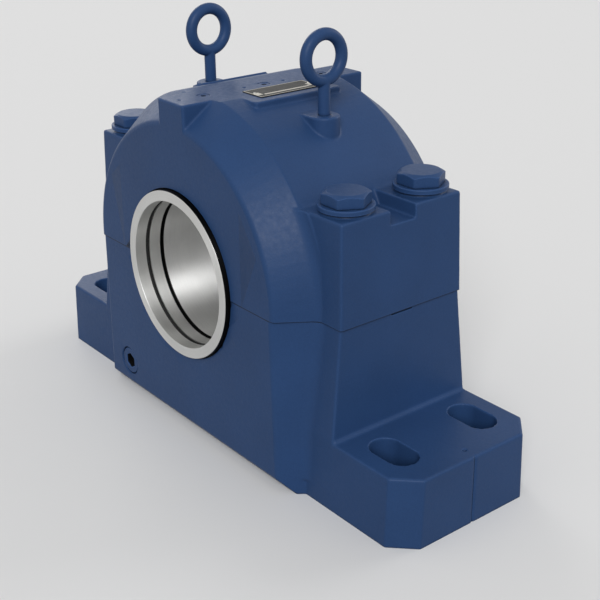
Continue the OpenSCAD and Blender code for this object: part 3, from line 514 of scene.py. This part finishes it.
def turned(name, radius, along, centre, axis="Y", steps=round_steps, gap=0.0):
    """A ring turned on an axis. Its closed section is a row of radii and a row of places
    along the axis, and each point goes round a circle in equal steps; a radius may also
    change with the angle. A gap leaves that angle open at the start. The map for the finish
    runs along the section in u, in metres, and round the circle in v, in turns."""
    angle = np.linspace(gap / 2, 2 * np.pi - gap / 2, steps, endpoint=gap > 0)
    radius = np.asarray(radius, float).reshape(len(along), -1)
    radius = np.broadcast_to(radius, (len(along), steps))
    along = np.broadcast_to(np.asarray(along, float)[:, None], radius.shape)
    if axis == "Y":
        points = [centre[0] + radius * np.sin(angle), along, centre[1] + radius * np.cos(angle)]
    else:
        points = [centre[0] + radius * np.cos(angle), centre[1] + radius * np.sin(angle), along]
    points = np.stack(points, axis=-1)
    count = len(along)
    faces = grid_faces(count, steps, rows_close=True, columns_close=gap == 0)
    if gap:
        first = (np.arange(count) * steps).tolist()
        faces += [first, [i + steps - 1 for i in first][::-1]]
    mesh = bpy.data.meshes.new(name)
    mesh.from_pydata(points.reshape(-1, 3).tolist(), [], faces)
    made = bmesh.new()
    made.from_mesh(mesh)
    if made.calc_volume(signed=True) < 0:
        bmesh.ops.reverse_faces(made, faces=made.faces)
    made.to_mesh(mesh)
    made.free()
    step = np.hypot(*(np.diff(np.stack([radius[:, 0], along[:, 0]]), axis=1)))
    length = np.concatenate([[0], np.cumsum(step)])
    corner = np.empty(len(mesh.loops), np.int32)
    mesh.loops.foreach_get("vertex_index", corner)
    u = length[corner // steps]
    v = (corner % steps) / steps
    quads = 4 * (len(mesh.polygons) - (2 if gap else 0))
    for value, turn, far in ((u, length[-1] + hair, 0.5 * length[-1]), (v, 1.0, 0.5)):
        face = value[:quads].reshape(-1, 4)
        wraps = (face.max(axis=1) - face.min(axis=1) > far)[:, None] & (face < far)
        face[wraps] += turn
    mapped = mesh.uv_layers.new(name="turning")
    mapped.data.foreach_set("uv", np.stack([u, v], axis=-1).ravel().astype(np.float32))
    piece = bpy.data.objects.new(name, mesh)
    bpy.context.scene.collection.objects.link(piece)
    piece.data.shade_smooth()
    piece.data.set_sharp_from_angle(angle=math.radians(28))
    return piece


def turned_metal(name, colour, rough, line=1.0, stretch=0.6, painted_shade_to=-1.0, painted_reflection_out=1.0):
    """Turned steel: fine rings of the tool's marks round the axis, which draw its gloss out
    across them, with slow clouds of tone. It is painted black as far as a place along Y, as
    painted shade, and further out than a radius, as a painted dark reflection."""
    made, tree, shader, place = new_material(name)
    part = shader_node(tree, "SeparateXYZ", {"Vector": place}).outputs
    above = sum_of(tree, "SUBTRACT", part["Z"], axis_z)
    out = sum_of(tree, "SQRT", sum_of(tree, "ADD", sum_of(tree, "MULTIPLY", part["X"], part["X"]),
                                      sum_of(tree, "MULTIPLY", above, above)))
    turn = sum_of(tree, "ARCTAN2", above, part["X"])
    across = shader_node(tree, "CombineXYZ", {
        "X": sum_of(tree, "MULTIPLY", out, 1100.0 * line),
        "Y": sum_of(tree, "MULTIPLY", part["Y"], 1100.0 * line),
        "Z": sum_of(tree, "MULTIPLY", turn, 0.8)}).outputs[0]
    rings = noise(tree, across, 1.0, 3, 0.6)
    grit = noise(tree, place, 1500, 2)
    cloud = noise(tree, place, 30, 3)
    mixed = sum_of(tree, "ADD", sum_of(tree, "ADD", rings, grit), cloud)
    dull = tuple(0.90 * c for c in colour)
    bright = tuple(min(1, 1.08 * c) for c in colour)
    steel = tones(tree, between(tree, mixed, 0, 1, 1.0, 2.0), (0.0, dull), (1.0, bright))
    # Painted black: shade in front of a place along Y, and a dark reflection further out than a
    # radius.
    black = sum_of(tree, "MAXIMUM", sum_of(tree, "LESS_THAN", part["Y"], painted_shade_to),
                   sum_of(tree, "GREATER_THAN", out, painted_reflection_out))
    tone = shader_node(tree, "Mix", {0: black, 6: steel, 7: (*painted_dark, 1)}, data_type="RGBA")
    tree.links.new(tone.outputs[2], shader.inputs["Base Color"])
    uneven = sum_of(tree, "ADD", rings, cloud)
    tree.links.new(between(tree, uneven, rough - 0.02, rough + 0.02, 0.7, 1.3),
                   shader.inputs["Roughness"])
    tree.links.new(relief(tree, rings, 0.000012 * line, 0.6, relief(tree, grit, 0.00001, 0.5)),
                   shader.inputs["Normal"])
    way = shader_node(tree, "Tangent", direction_type="UV_MAP", uv_map="turning").outputs[0]
    tree.links.new(way, shader.inputs["Tangent"])
    shader.inputs["Metallic"].default_value = 1.0
    shader.inputs["Anisotropic"].default_value = stretch
    return made


def thread_wave(place, pitch, depth, steps):
    """How deep a thread is cut, by place along it and angle: a triangle wave that moves by
    one pitch for each turn."""
    angle = np.linspace(0, 1, steps, endpoint=False)
    return depth * np.abs(2 * np.mod(np.asarray(place)[:, None] / pitch + angle[None, :], 1) - 1)


thread_y = np.arange(thread_start, thread_end, thread_pitch / 6)
thread_r = sleeve_out - thread_wave(thread_y, thread_pitch, thread_depth, round_steps)
plain_y = np.array([taper_y, sleeve_high.y - sleeve_rim, sleeve_high.y, sleeve_high.y,
                    sleeve_high.y - sleeve_rim, sleeve_low.y + sleeve_mouth, sleeve_low.y,
                    sleeve_low.y])
tail_r = sleeve_out + (sleeve_high.y - taper_y) * taper
plain_r = np.array([sleeve_out, tail_r, tail_r - sleeve_rim, sleeve_bore + sleeve_rim,
                    sleeve_bore, sleeve_bore, sleeve_bore + sleeve_mouth,
                    sleeve_out - thread_depth])
plain_round = np.repeat(plain_r[:, None], round_steps, axis=1)
sleeve = turned("sleeve", np.concatenate([thread_r, plain_round]),
                np.concatenate([thread_y, plain_y]), (0, axis_z),
                gap=2 * math.asin(slit / 2 / sleeve_bore))
# The sleeve's front end, up to just past its mouth chamfer, is painted black as the shade of the
# gap behind the seal ring.
bright_bore = turned_metal("bright_bore", (0.66, 0.66, 0.65), 0.50, 0.8, 0.86,
                           sleeve_low.y + sleeve_mouth + 0.0001)
dressed(sleeve, bright_bore, "rotor", "plain_steel", "adapter_sleeve")
finished(worked_metal("blackened_nut", (0.17, 0.17, 0.18), (110, 1300, 110), 0.38), "lock_nut",
         "locking_clip")
finished(worked_metal("plated_screw", (0.58, 0.58, 0.57), (300, 300, 300), 0.30), "clip_screw")

# Labyrinth seal rings and their cords
# A turned steel ring at each end of the shaft. Its two fins run in the housing's grooves
# and keep dirt out without touching. A rubber cord in its bore grips the shaft.
ring_low, ring_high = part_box("labyrinth_ring_front")
ring_end = -ring_low.y
ring_in = -ring_high.y
fin_r = ring_high.x
ring_r = 0.1146
ring_bore = 0.10035
fins = (0.136, 0.120)
fin_half = 0.003
edge = 0.0004
cord_low, cord_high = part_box("seal_cord_front")
cord_y = -(cord_low.y + cord_high.y) / 2
cord_half = (cord_high.y - cord_low.y) / 2
cord_r = cord_high.x - cord_half
groove_r = cord_high.x + 0.00005
groove_half = cord_half + 0.0001


def labyrinth_section():
    """The ring's closed outline as radii and places: its face, its body with two fins that
    stand out square, its inner end, and its bore with the cord's groove."""
    outline = [(ring_bore + edge, ring_end), (ring_r - edge, ring_end), (ring_r, ring_end - edge)]
    for fin in fins:
        outline += [(ring_r, fin + fin_half), (fin_r - edge, fin + fin_half),
                    (fin_r, fin + fin_half - edge), (fin_r, fin - fin_half + edge),
                    (fin_r - edge, fin - fin_half), (ring_r, fin - fin_half)]
    outline += [(ring_r, ring_in + edge), (ring_r - edge, ring_in), (ring_bore + edge, ring_in),
                (ring_bore, ring_in + edge), (ring_bore, cord_y - groove_half),
                (groove_r, cord_y - groove_half), (groove_r, cord_y + groove_half),
                (ring_bore, cord_y + groove_half), (ring_bore, ring_end - edge)]
    return np.array(outline).T


# The ring's outside and fins are painted black: a painted dark reflection of its surroundings.
ring_steel = turned_metal("ring_steel", (0.66, 0.66, 0.645), 0.42, 1.0, 0.72,
                          painted_reflection_out=ring_r - edge / 2)
cord_rubber, rubber_tree, rubber_shader, rubber_place = new_material("cord_rubber")
rubber_skin = noise(rubber_tree, rubber_place, 420, 3)
rubber_tone = tones(rubber_tree, rubber_skin, (0.3, (0.006, 0.006, 0.006)),
                    (0.8, (0.020, 0.020, 0.021)))
rubber_tree.links.new(rubber_tone, rubber_shader.inputs["Base Color"])
rubber_tree.links.new(between(rubber_tree, rubber_skin, 0.55, 0.75),
                      rubber_shader.inputs["Roughness"])
rubber_tree.links.new(relief(rubber_tree, rubber_skin, 0.00006, 0.5),
                      rubber_shader.inputs["Normal"])
rubber_shader.inputs["Specular IOR Level"].default_value = 0.2
ring_radii, ring_places = labyrinth_section()
cord_turn = np.linspace(0, 2 * np.pi, 24, endpoint=False)
for side, end_name in ((-1, "front"), (1, "back")):
    ring = turned("seal_ring_" + end_name, ring_radii, side * ring_places, (0, axis_z))
    dressed(ring, ring_steel, "rotor", "turned_steel", "labyrinth_ring_" + end_name)
    cord = turned("rubber_cord_" + end_name, cord_r + cord_half * np.cos(cord_turn),
                  side * cord_y + cord_half * np.sin(cord_turn), (0, axis_z))
    dressed(cord, cord_rubber, "rotor", "seal_rubber", "seal_cord_" + end_name)

# Cap casting
# The upper half of the housing, of the same iron and paint: the barrel with a sloping
# collar at each end, two ears that bolt down to the base, a flat top with a ledge for the
# nameplate, and two bosses for the lifting eyes. Its ears overhang the base a little.
top_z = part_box("cap")[1].z
washer_low, washer_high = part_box("cap_washers")
seat_z = washer_low.z
eye_low, eye_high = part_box("eye_bolts")
eye_bar = 0.0155
eye_d = eye_high.y - eye_low.y
eye_x = 0.124
boss_z = 0.455
bosses_from = 0.1
seats_from = 0.2
plug_low, plug_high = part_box("grease_plugs")
plug_r = plug_high.x
plug_y = plug_high.y - plug_r
plate_low, plate_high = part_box("nameplate")
plate_x = (plate_low.x + plate_high.x) / 2
rivet_r = 0.0025
rivet_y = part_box("plate_rivets")[1].y - rivet_r
room_r = 0.205
top_dimple_r = 0.0035
top_dimple_deep = 0.004
top_dimple_places = (0.032, end_y - 0.015)
cap_fillers = [bearing_room("mouth", round_bar(
    "room", room_r, (0, -room_half, axis_z), (0, room_half, axis_z), 128))]
cap_marks = []
for side in (-1, 1):
    cap_fillers.append(round_bar("dowel_hole", dowel_r + spare / 2,
                                 (side * dowel_x, 0, joint_z - stock),
                                 (side * dowel_x, 0, dowel_high.z + spare)))
    cap_fillers.append(round_bar("eye_hole", 0.7 * eye_bar, (side * eye_x, 0, eye_low.z - spare),
                                 (side * eye_x, 0, boss_z)))
    cap_fillers.append(round_bar("rivet_hole", 0.003, (plate_x, side * rivet_y, top_z - spare),
                                 (plate_x, side * rivet_y, top_z), 24))
    for end in (-1, 1):
        cap_fillers.append(round_bar("bolt_hole", bolt_hole_r,
                                     (side * bolt_x, end * bolt_y, joint_z - stock),
                                     (side * bolt_x, end * bolt_y, seat_z)))
    for dimple_y in top_dimple_places:
        cap_marks.append(round_bar("dimple", top_dimple_r,
                                   (0, side * dimple_y, top_z - top_dimple_deep),
                                   (0, side * dimple_y, top_z), 24))
for y in (-plug_y, 0, plug_y):
    cap_fillers.append(round_bar("plug_hole", plug_r + spare / 2, (0, y, plug_low.z - spare),
                                 (0, y, top_z), 48))

cap_casting = sand_cast(
    "cap_casting", "cap", cap_fillers, cap_marks, [(joint_z, -stock)],
    [(lambda x, y, z: abs(y) > end_y - hair, lambda x, y, z: (0 * x, np.sign(y) * stock, 0 * z)),
     (lambda x, y, z: z > top_z - hair, lambda x, y, z: (0 * x, 0 * y, 0 * z + stock)),
     (lambda x, y, z: (z > boss_z - hair) & (z < top_z - spare) & (abs(x) > bosses_from),
      lambda x, y, z: (0 * x, 0 * y, 0 * z + stock)),
     (lambda x, y, z: (z > seat_z - hair) & (z < seat_z + hair) & (abs(x) > seats_from),
      lambda x, y, z: (0 * x, 0 * y, 0 * z + stock))])
dressed(cap_casting, cast_paint, "housing", "blue_paint", "cap")

# Cap bolts and washers
# Four hexagon bolts that clamp the cap on the base, each with a thick turned washer on a
# raised seat. Painted with the housing, so their edges are softened by the coats.
washer_r = washer_high.x - bolt_x
washer_bore = 0.0185
head_z = washer_high.z
bolt_r = 0.018
bolt_pitch = 0.004
bolt_depth = 0.0022
head_top = 0.0243
head_soft = 0.0007
head_chamfer = 0.0052
bolt_steps = 144


def six_sided(flats, steps, softness=36):
    """Radius of a hexagon with soft corners, by angle: where the p-norm of the distances
    along its three widths across flats reaches half the width."""
    angle = np.linspace(0, 2 * np.pi, steps, endpoint=False)
    reach = sum(np.abs(np.cos(angle - math.radians(30 + 60 * k))) ** softness for k in range(3))
    return flats / 2 / reach ** (1 / softness)


def hexagon_bolt(x, y):
    """A bolt as rows of radii down its length: the top, a 30 degree chamfer that cuts the
    hexagon, the flats, the plain shank, and a thread that winds down to its tip."""
    six = six_sided(bolt_flats, bolt_steps)
    flat = np.ones(bolt_steps)
    down = np.linspace(0, head_chamfer, 14)
    rows = [(0 * flat, bolt_high.z), (0.6 * head_top * flat, bolt_high.z),
            ((head_top - head_soft) * flat, bolt_high.z)]
    rows += [(np.minimum(six, head_top + d / math.tan(math.radians(30))), bolt_high.z - 0.0002 - d)
             for d in down]
    rows += [(six, head_z + head_soft), (six - 0.6 * head_soft, head_z), (bolt_r * flat, head_z),
             (bolt_r * flat, joint_z + 2 * bolt_pitch),
             ((bolt_r - bolt_depth) * flat, joint_z + bolt_pitch)]
    place = np.arange(joint_z, bolt_low.z + 0.002, -bolt_pitch / 6)
    wave = thread_wave(place, bolt_pitch, bolt_depth, bolt_steps)
    rows += [(bolt_r - cut, z) for cut, z in zip(wave, place)]
    rows += [((bolt_r - bolt_depth) * flat, bolt_low.z), (0 * flat, bolt_low.z)]
    angle = np.linspace(0, 2 * np.pi, bolt_steps, endpoint=False)
    radius = np.array([r for r, z in rows])
    height = np.repeat(np.array([z for r, z in rows])[:, None], bolt_steps, axis=1)
    points = np.stack([x + radius * np.cos(angle), y + radius * np.sin(angle), height], axis=-1)
    return drawn("bolt", points, grid_faces(len(rows), bolt_steps))


def thick_washer(x, y):
    """A washer with rounded rims: a closed section round an upright axis."""
    soft = 0.0012
    arc = np.linspace(0, np.pi / 2, 6)
    low, high = washer_low.z, washer_high.z
    radius = np.concatenate([[washer_bore, washer_r - soft / 2, washer_r],
                             washer_r - soft + soft * np.cos(arc),
                             [washer_bore + soft / 2, washer_bore]])
    place = np.concatenate([[low, low, low + soft / 2], high - soft + soft * np.sin(arc),
                            [high, high - soft / 2]])
    return turned("washer", radius, place, (x, y), "Z", 128)


smooth_paint = machine_paint("smooth_paint", blue, 0.35)
bolt_places = [(side * bolt_x, end * bolt_y) for side in (-1, 1) for end in (-1, 1)]
bolts = as_one("bolts", [hexagon_bolt(x, y) for x, y in bolt_places])
crisp_and_smooth(bolts, sharp_degrees=35)
dressed(bolts, smooth_paint, "housing", "blue_paint", "cap_bolts")
washers = as_one("washers", [thick_washer(x, y) for x, y in bolt_places])
crisp_and_smooth(washers, sharp_degrees=35)
dressed(washers, smooth_paint, "housing", "blue_paint", "cap_washers")

# Eye bolts
# Two forged lifting eyes, screwed into the cap's bosses before painting.
eye_z = eye_high.z - eye_d / 2
eye_ring = (eye_d - eye_bar) / 2
forge_grain = 0.0008
forge_passes = 3
shank_low = boss_z - 0.004
eye_thread_high = boss_z - 0.003
eye_pitch = 0.0025
eye_cut = 0.0013
eye_steps = 72


def lifting_eye(x):
    """An eye bolt: a torus in the plane across the base, run into its round shank, with a
    thread below the boss that winds by its pitch in a turn."""
    turn = np.linspace(0, 2 * np.pi, 96, endpoint=False)[:, None]
    tube = np.linspace(0, 2 * np.pi, 48, endpoint=False)[None, :]
    reach = eye_ring + eye_bar / 2 * np.cos(tube)
    points = np.stack([x + eye_bar / 2 * np.sin(tube) + 0 * turn, reach * np.sin(turn),
                       eye_z + reach * np.cos(turn)], axis=-1)
    eye = drawn("lifting_eye", points, grid_faces(96, 48, rows_close=True))
    shank_top = eye_z - eye_ring
    shank = round_bar("shank", eye_bar / 2, (x, 0, shank_low), (x, 0, shank_top))
    carved(eye, shank, "UNION")
    moulded(eye, forge_grain, forge_passes)
    place = np.arange(eye_thread_high, eye_low.z + 0.0015, -eye_pitch / 6)
    cut = thread_wave(place, eye_pitch, eye_cut, eye_steps)
    middle = np.zeros((1, eye_steps))
    tip = np.full((1, eye_steps), eye_bar / 2 - 0.002)
    radius = np.concatenate([middle, eye_bar / 2 - cut, tip, middle])
    height = np.concatenate([[eye_thread_high], place, [eye_low.z, eye_low.z]])
    angle = np.linspace(0, 2 * np.pi, eye_steps, endpoint=False)
    points = np.stack([x + radius * np.cos(angle), radius * np.sin(angle),
                       np.repeat(height[:, None], eye_steps, axis=1)], axis=-1)
    return carved(eye, drawn("thread", points, grid_faces(len(height), eye_steps)), "UNION")


eyes = as_one("lifting_eyes", [lifting_eye(-eye_x), lifting_eye(eye_x)])
crisp_and_smooth(eyes, sharp_degrees=40)
dressed(eyes, smooth_paint, "housing", "blue_paint", "eye_bolts")

# Grease plugs and drain plug
# Threaded steel plugs with hexagon sockets: three along the flat top, over the channels to
# the bearing, and a large one low on the front face. Turned in flush and painted over.
plug_socket = 0.007
plug_socket_deep = 0.0065
plug_pitch = 0.0015
plug_bevel = 0.0008
drain_socket = 0.020
drain_len = drain_high.y - drain_low.y
drain_socket_deep = drain_len / 2
drain_pitch = 0.002
drain_bevel = 0.0024
plug_steps = 96


def socket_plug(radius, length, flats, depth, pitch, bevel):
    """A plug with its face at zero, as rows of radii: up the thread, over the bevelled rim,
    in to the hexagon, and down the socket to the cone that its drill left."""
    six = six_sided(flats, plug_steps, 60)
    flat = np.ones(plug_steps)
    place = np.arange(pitch - length, -bevel - pitch / 2, pitch / 6)
    wave = thread_wave(place, pitch, 0.55 * pitch, plug_steps)
    rows = [(0 * flat, -length), ((radius - pitch) * flat, -length),
            ((radius - 0.5 * pitch) * flat, pitch / 2 - length)]
    rows += [(radius - cut, z) for cut, z in zip(wave, place)]
    rows += [(radius * flat, -bevel), ((radius - bevel) * flat, 0), (six + 0.05 * flats, 0),
             (six, -0.05 * flats), (six, -depth), (0 * flat, -depth - 0.2 * flats)]
    return np.array([r for r, z in rows]), np.array([z for r, z in rows])


def placed_plug(name, radius, height, x, y, z, along):
    """The plug's rows set round an upright axis, or round one that faces the front."""
    angle = np.linspace(0, 2 * np.pi, plug_steps, endpoint=False)
    height = np.repeat(height[:, None], plug_steps, axis=1)
    if along == "Z":
        points = [x + radius * np.cos(angle), y + radius * np.sin(angle), z + height]
    else:
        points = [x + radius * np.sin(angle), y - height, z + radius * np.cos(angle)]
    return drawn(name, np.stack(points, axis=-1), grid_faces(len(radius), plug_steps))


def bare_inside(piece, material, centres, along, widest, depth):
    """Gives the faces inside the sockets a second material: those nearer an axis than the
    hexagon's corners, and below the rim but above the socket's bottom."""
    middle = np.empty(len(piece.data.polygons) * 3, np.float32)
    piece.data.polygons.foreach_get("center", middle)
    middle = middle.reshape(-1, 1, 3) - np.array(centres)[None]
    below = -middle[..., 2] if along == "Z" else middle[..., 1]
    across = np.delete(middle, 2 if along == "Z" else 1, axis=2)
    inside = (np.hypot(across[..., 0], across[..., 1]) < widest) & (below > hair) & (below < depth)
    piece.data.materials.append(material)
    piece.data.polygons.foreach_set("material_index", inside.any(axis=1).astype(np.int32))
    piece.data.update()


plug_places = [(0, y, plug_high.z) for y in (-plug_y, 0, plug_y)]
plug_radii, plug_heights = socket_plug(plug_r, plug_high.z - plug_low.z, plug_socket,
                                       plug_socket_deep, plug_pitch, plug_bevel)
plugs = as_one("top_plugs", [placed_plug("plug", plug_radii, plug_heights, *spot, "Z")
                             for spot in plug_places])
crisp_and_smooth(plugs, sharp_degrees=35)
dressed(plugs, smooth_paint, "housing", "blue_paint", "grease_plugs")
# Inside the sockets: bare steel, painted near black as the shade in the recess.
dark_socket_and_shade = worked_metal("dark_socket_and_shade", (0.030, 0.030, 0.032), (300, 300, 300), 0.50)
bare_inside(plugs, dark_socket_and_shade, plug_places, "Z", 0.6 * plug_socket,
            plug_socket_deep + 0.25 * plug_socket)
drain_place = (drain_x, drain_low.y, drain_z)
drain_radii, drain_heights = socket_plug(drain_r, drain_len, drain_socket, drain_socket_deep,
                                         drain_pitch, drain_bevel)
drain = placed_plug("low_plug", drain_radii, drain_heights, *drain_place, "Y")
crisp_and_smooth(drain, sharp_degrees=35)
dressed(drain, smooth_paint, "housing", "blue_paint", "drain_plug")
bare_inside(drain, dark_socket_and_shade, [drain_place], "Y", 0.6 * drain_socket,
            drain_socket_deep + 0.25 * drain_socket)

# Nameplate and rivets
# An etched aluminium plate, black with a bare frame line, a bare band and a bare field
# round each rivet, and no lettering. Two small domed rivets hold it on its ledge.
plate_half = ((plate_high.x - plate_low.x) / 2, (plate_high.y - plate_low.y) / 2)
plate_corner = 0.002
plate_hole_r = 0.0013
etch = 0.00015
frame_line = 0.0012
plate_cell = 0.0004


def bare_parts(x, y):
    """Where the plate is bare, by place across and along it: a frame line, a band beside
    its outer edge, and a field round each rivet. Each is a box with soft sides."""
    def box_of(cx, cy, hx, hy):
        inside = np.minimum(hx - np.abs(x - cx), hy - np.abs(y - cy))
        return np.clip(inside / 0.0003 + 0.5, 0, 1)
    a, b = plate_half
    outer = box_of(0, 0, a - frame_line, b - frame_line)
    inner = box_of(0, 0, a - 2 * frame_line, b - 2 * frame_line)
    band = box_of(0.0105, 0, 0.0019, b - 0.013)
    fields = np.maximum(box_of(0.0045, rivet_y - 0.0015, 0.0060, 0.0042),
                        box_of(0.0045, 0.0015 - rivet_y, 0.0060, 0.0042))
    return np.maximum(outer - inner, np.maximum(band, fields))


def etched_plate():
    """A thin plate from two grids, with its corners drawn in to quarter circles, and its
    black parts etched a little below the bare ones."""
    a, b = plate_half
    across = np.linspace(-a, a, int(2 * a / plate_cell))
    length = np.linspace(-b, b, int(2 * b / plate_cell))
    x, y = np.meshgrid(across, length, indexing="ij")
    dx = np.maximum(np.abs(x) - (a - plate_corner), 0)
    dy = np.maximum(np.abs(y) - (b - plate_corner), 0)
    far = np.hypot(dx, dy)
    pull = np.where(far > 0, np.maximum(dx, dy) / np.maximum(far, 1e-9), 1)
    x = np.sign(x) * (np.abs(x) - dx * (1 - pull))
    y = np.sign(y) * (np.abs(y) - dy * (1 - pull))
    top = plate_high.z - etch * (1 - bare_parts(x, y))
    rim = np.minimum(a - np.abs(x), b - np.abs(y)) < 1e-7
    top = np.where(rim, top - etch, top)
    count = x.shape
    points = np.concatenate([np.stack([x + plate_x, y, top], -1).reshape(-1, 3),
                             np.stack([x + plate_x, y, 0 * x + plate_low.z], -1).reshape(-1, 3)])
    upper = np.array(grid_faces(*count, columns_close=False))[:, ::-1]
    lower = upper[:, ::-1] + x.size
    number = np.arange(x.size).reshape(count)
    loop = np.concatenate([number[:-1, 0], number[-1, :-1], number[:0:-1, -1], number[0, :0:-1]])
    after = np.roll(loop, -1)
    sides = np.stack([loop, loop + x.size, after + x.size, after], -1)
    return drawn("plate", points, np.concatenate([upper, lower, sides]).tolist())


plate = etched_plate()
for side in (-1, 1):
    carved(plate, round_bar("hole", plate_hole_r, (plate_x, side * rivet_y, plate_low.z - stock),
                            (plate_x, side * rivet_y, plate_high.z + stock), 32))
plate_flat = np.empty(len(plate.data.vertices) * 3, np.float32)
plate.data.vertices.foreach_get("co", plate_flat)
plate_points = plate_flat.reshape(-1, 3)
on_top = plate_points[:, 2] > plate_high.z - 3 * etch
unpainted = bare_parts(plate_points[:, 0] - plate_x, plate_points[:, 1]) * on_top
bare_share = plate.data.attributes.new("bare", "FLOAT", "POINT")
bare_share.data.foreach_set("value", unpainted.astype(np.float32))
crisp_and_smooth(plate, sharp_degrees=30)
plate_finish, plate_tree, plate_shader, plate_place = new_material("plate_finish")
bare = shader_node(plate_tree, "Attribute", attribute_name="bare").outputs["Fac"]
drawn_out = shader_node(plate_tree, "VectorMath", {0: plate_place, 1: (2200, 90, 2200)},
                        operation="MULTIPLY").outputs[0]
brushed = noise(plate_tree, drawn_out, 1.0, 3)
dust = noise(plate_tree, plate_place, 160, 4)
black = tones(plate_tree, dust, (0.35, (0.007, 0.007, 0.006)), (0.75, (0.022, 0.021, 0.019)))
pale = tones(plate_tree, brushed, (0.3, (0.46, 0.44, 0.38)), (0.7, (0.66, 0.63, 0.56)))
plate_tone = shader_node(plate_tree, "Mix", {0: bare, 6: black, 7: pale}, data_type="RGBA")
plate_tree.links.new(plate_tone.outputs[2], plate_shader.inputs["Base Color"])
plate_tree.links.new(between(plate_tree, brushed, 0.36, 0.52), plate_shader.inputs["Roughness"])
plate_tree.links.new(sum_of(plate_tree, "MULTIPLY", bare, 0.3), plate_shader.inputs["Metallic"])
plate_shader.inputs["Specular IOR Level"].default_value = 0.12
plate_tree.links.new(relief(plate_tree, brushed, 0.00001, 0.5), plate_shader.inputs["Normal"])
dressed(plate, plate_finish, "housing", "plate_metal", "nameplate")


def domed_rivet(y):
    """A rivet with a shallow dome: half an arc over its head, and a plain shank."""
    rivet_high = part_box("plate_rivets")[1].z
    arc = np.linspace(0, np.pi / 2, 9)
    radius = np.concatenate([rivet_r * np.sin(arc), [rivet_r, rivet_r / 2, rivet_r / 2, 0]])
    place = np.concatenate([plate_high.z + (rivet_high - plate_high.z) * np.cos(arc),
                            [plate_high.z, plate_high.z, top_z - 0.004, top_z - 0.004]])
    steps = 40
    angle = np.linspace(0, 2 * np.pi, steps, endpoint=False)
    points = np.stack([plate_x + np.outer(radius, np.cos(angle)),
                       y + np.outer(radius, np.sin(angle)),
                       np.repeat(place[:, None], steps, axis=1)], axis=-1)
    return drawn("rivet", points, grid_faces(len(radius), steps))


rivets = as_one("rivets", [domed_rivet(-rivet_y), domed_rivet(rivet_y)])
crisp_and_smooth(rivets, sharp_degrees=40)
rivet_metal = worked_metal("rivet_metal", (0.55, 0.54, 0.50), (300, 300, 300), 0.32)
dressed(rivets, rivet_metal, "housing", "plain_steel", "plate_rivets")

# Floor, light and camera
# A pale plain floor under one large soft lamp on the camera's side, with two weak ones
# behind for the far side, and a long lens that looks down on the front right corner.
floor_colour = (0.80, 0.80, 0.80)
azimuth = math.radians(51.729)
elevation = math.radians(23.682)
roll = math.radians(-0.742)
lens_length = 68.51
camera_place = (1.19697, -0.88849, 0.81435)
back = Vector((math.sin(azimuth) * math.cos(elevation), -math.cos(azimuth) * math.cos(elevation),
               math.sin(elevation)))


def pale_floor(half=14.0):
    """A flat square floor, pale where it is seen, that throws little light back up."""
    floor = drawn("floor", [(-half, -half, 0), (half, -half, 0), (half, half, 0), (-half, half, 0)],
                  [[0, 1, 2, 3]])
    made, tree, shader = new_material("floor_cloth")[:3]
    shader.inputs["Base Color"].default_value = (*floor_colour, 1)
    shader.inputs["Roughness"].default_value = 0.9
    shader.inputs["Specular IOR Level"].default_value = 0.1
    dim = shader_node(tree, "BsdfDiffuse", {"Color": (0.25, 0.25, 0.25, 1)}).outputs[0]
    bounced = shader_node(tree, "LightPath").outputs["Is Diffuse Ray"]
    mixed = shader_node(tree, "MixShader", {0: bounced, 1: shader.outputs[0], 2: dim}).outputs[0]
    tree.links.new(mixed, tree.nodes["Material Output"].inputs["Surface"])
    floor.data.materials.append(made)
    return floor


def far_lamp(name, way, wide, power):
    """A soft lamp far off in one direction, so that it lights the floor evenly."""
    lamp = bpy.data.lights.new(name, "SUN")
    lamp.angle = math.radians(wide)
    lamp.energy = power
    made = bpy.data.objects.new(name, lamp)
    made.rotation_euler = Vector(way).to_track_quat("Z", "Y").to_euler()
    bpy.context.scene.collection.objects.link(made)
    return made


pale_floor()
far_lamp("camera_lamp", (0.62, -0.58, 0.53), 28, 2.00)
far_lamp("far_left_lamp", (-0.88, 0.30, 0.36), 30, 0.55)
far_lamp("far_right_lamp", (0.15, 0.92, 0.36), 30, 0.55)

world = bpy.data.worlds.new("studio")
bpy.context.scene.world = world
world.use_nodes = True
sky = world.node_tree
rays = shader_node(sky, "LightPath").outputs
seen = sum_of(sky, "MAXIMUM", rays["Is Camera Ray"], rays["Is Glossy Ray"])
seen_in_any_way = sum_of(sky, "MAXIMUM", seen, rays["Is Transmission Ray"])
room_light = shader_node(sky, "Background", {"Color": (1, 1, 1, 1), "Strength": 0.44})
backdrop = shader_node(sky, "Background", {"Color": (*floor_colour, 1), "Strength": 0.92})
around = shader_node(sky, "MixShader", {
    0: seen_in_any_way, 1: room_light.outputs[0], 2: backdrop.outputs[0]})
sky.links.new(around.outputs[0], sky.nodes["World Output"].inputs["Surface"])

level = Vector((math.cos(azimuth), math.sin(azimuth), 0))
upright = back.cross(level)
right = level * math.cos(roll) + upright * math.sin(roll)
up = upright * math.cos(roll) - level * math.sin(roll)
lens = bpy.data.cameras.new("camera")
lens.sensor_width = 36.0
lens.lens = lens_length
lens.clip_end = 60
camera = bpy.data.objects.new("camera", lens)
camera.matrix_world = Matrix((
    (right.x, up.x, back.x, camera_place[0]),
    (right.y, up.y, back.y, camera_place[1]),
    (right.z, up.z, back.z, camera_place[2]),
    (0, 0, 0, 1)))
bpy.context.scene.collection.objects.link(camera)
bpy.context.scene.camera = camera
bpy.context.scene.view_settings.view_transform = "Standard"
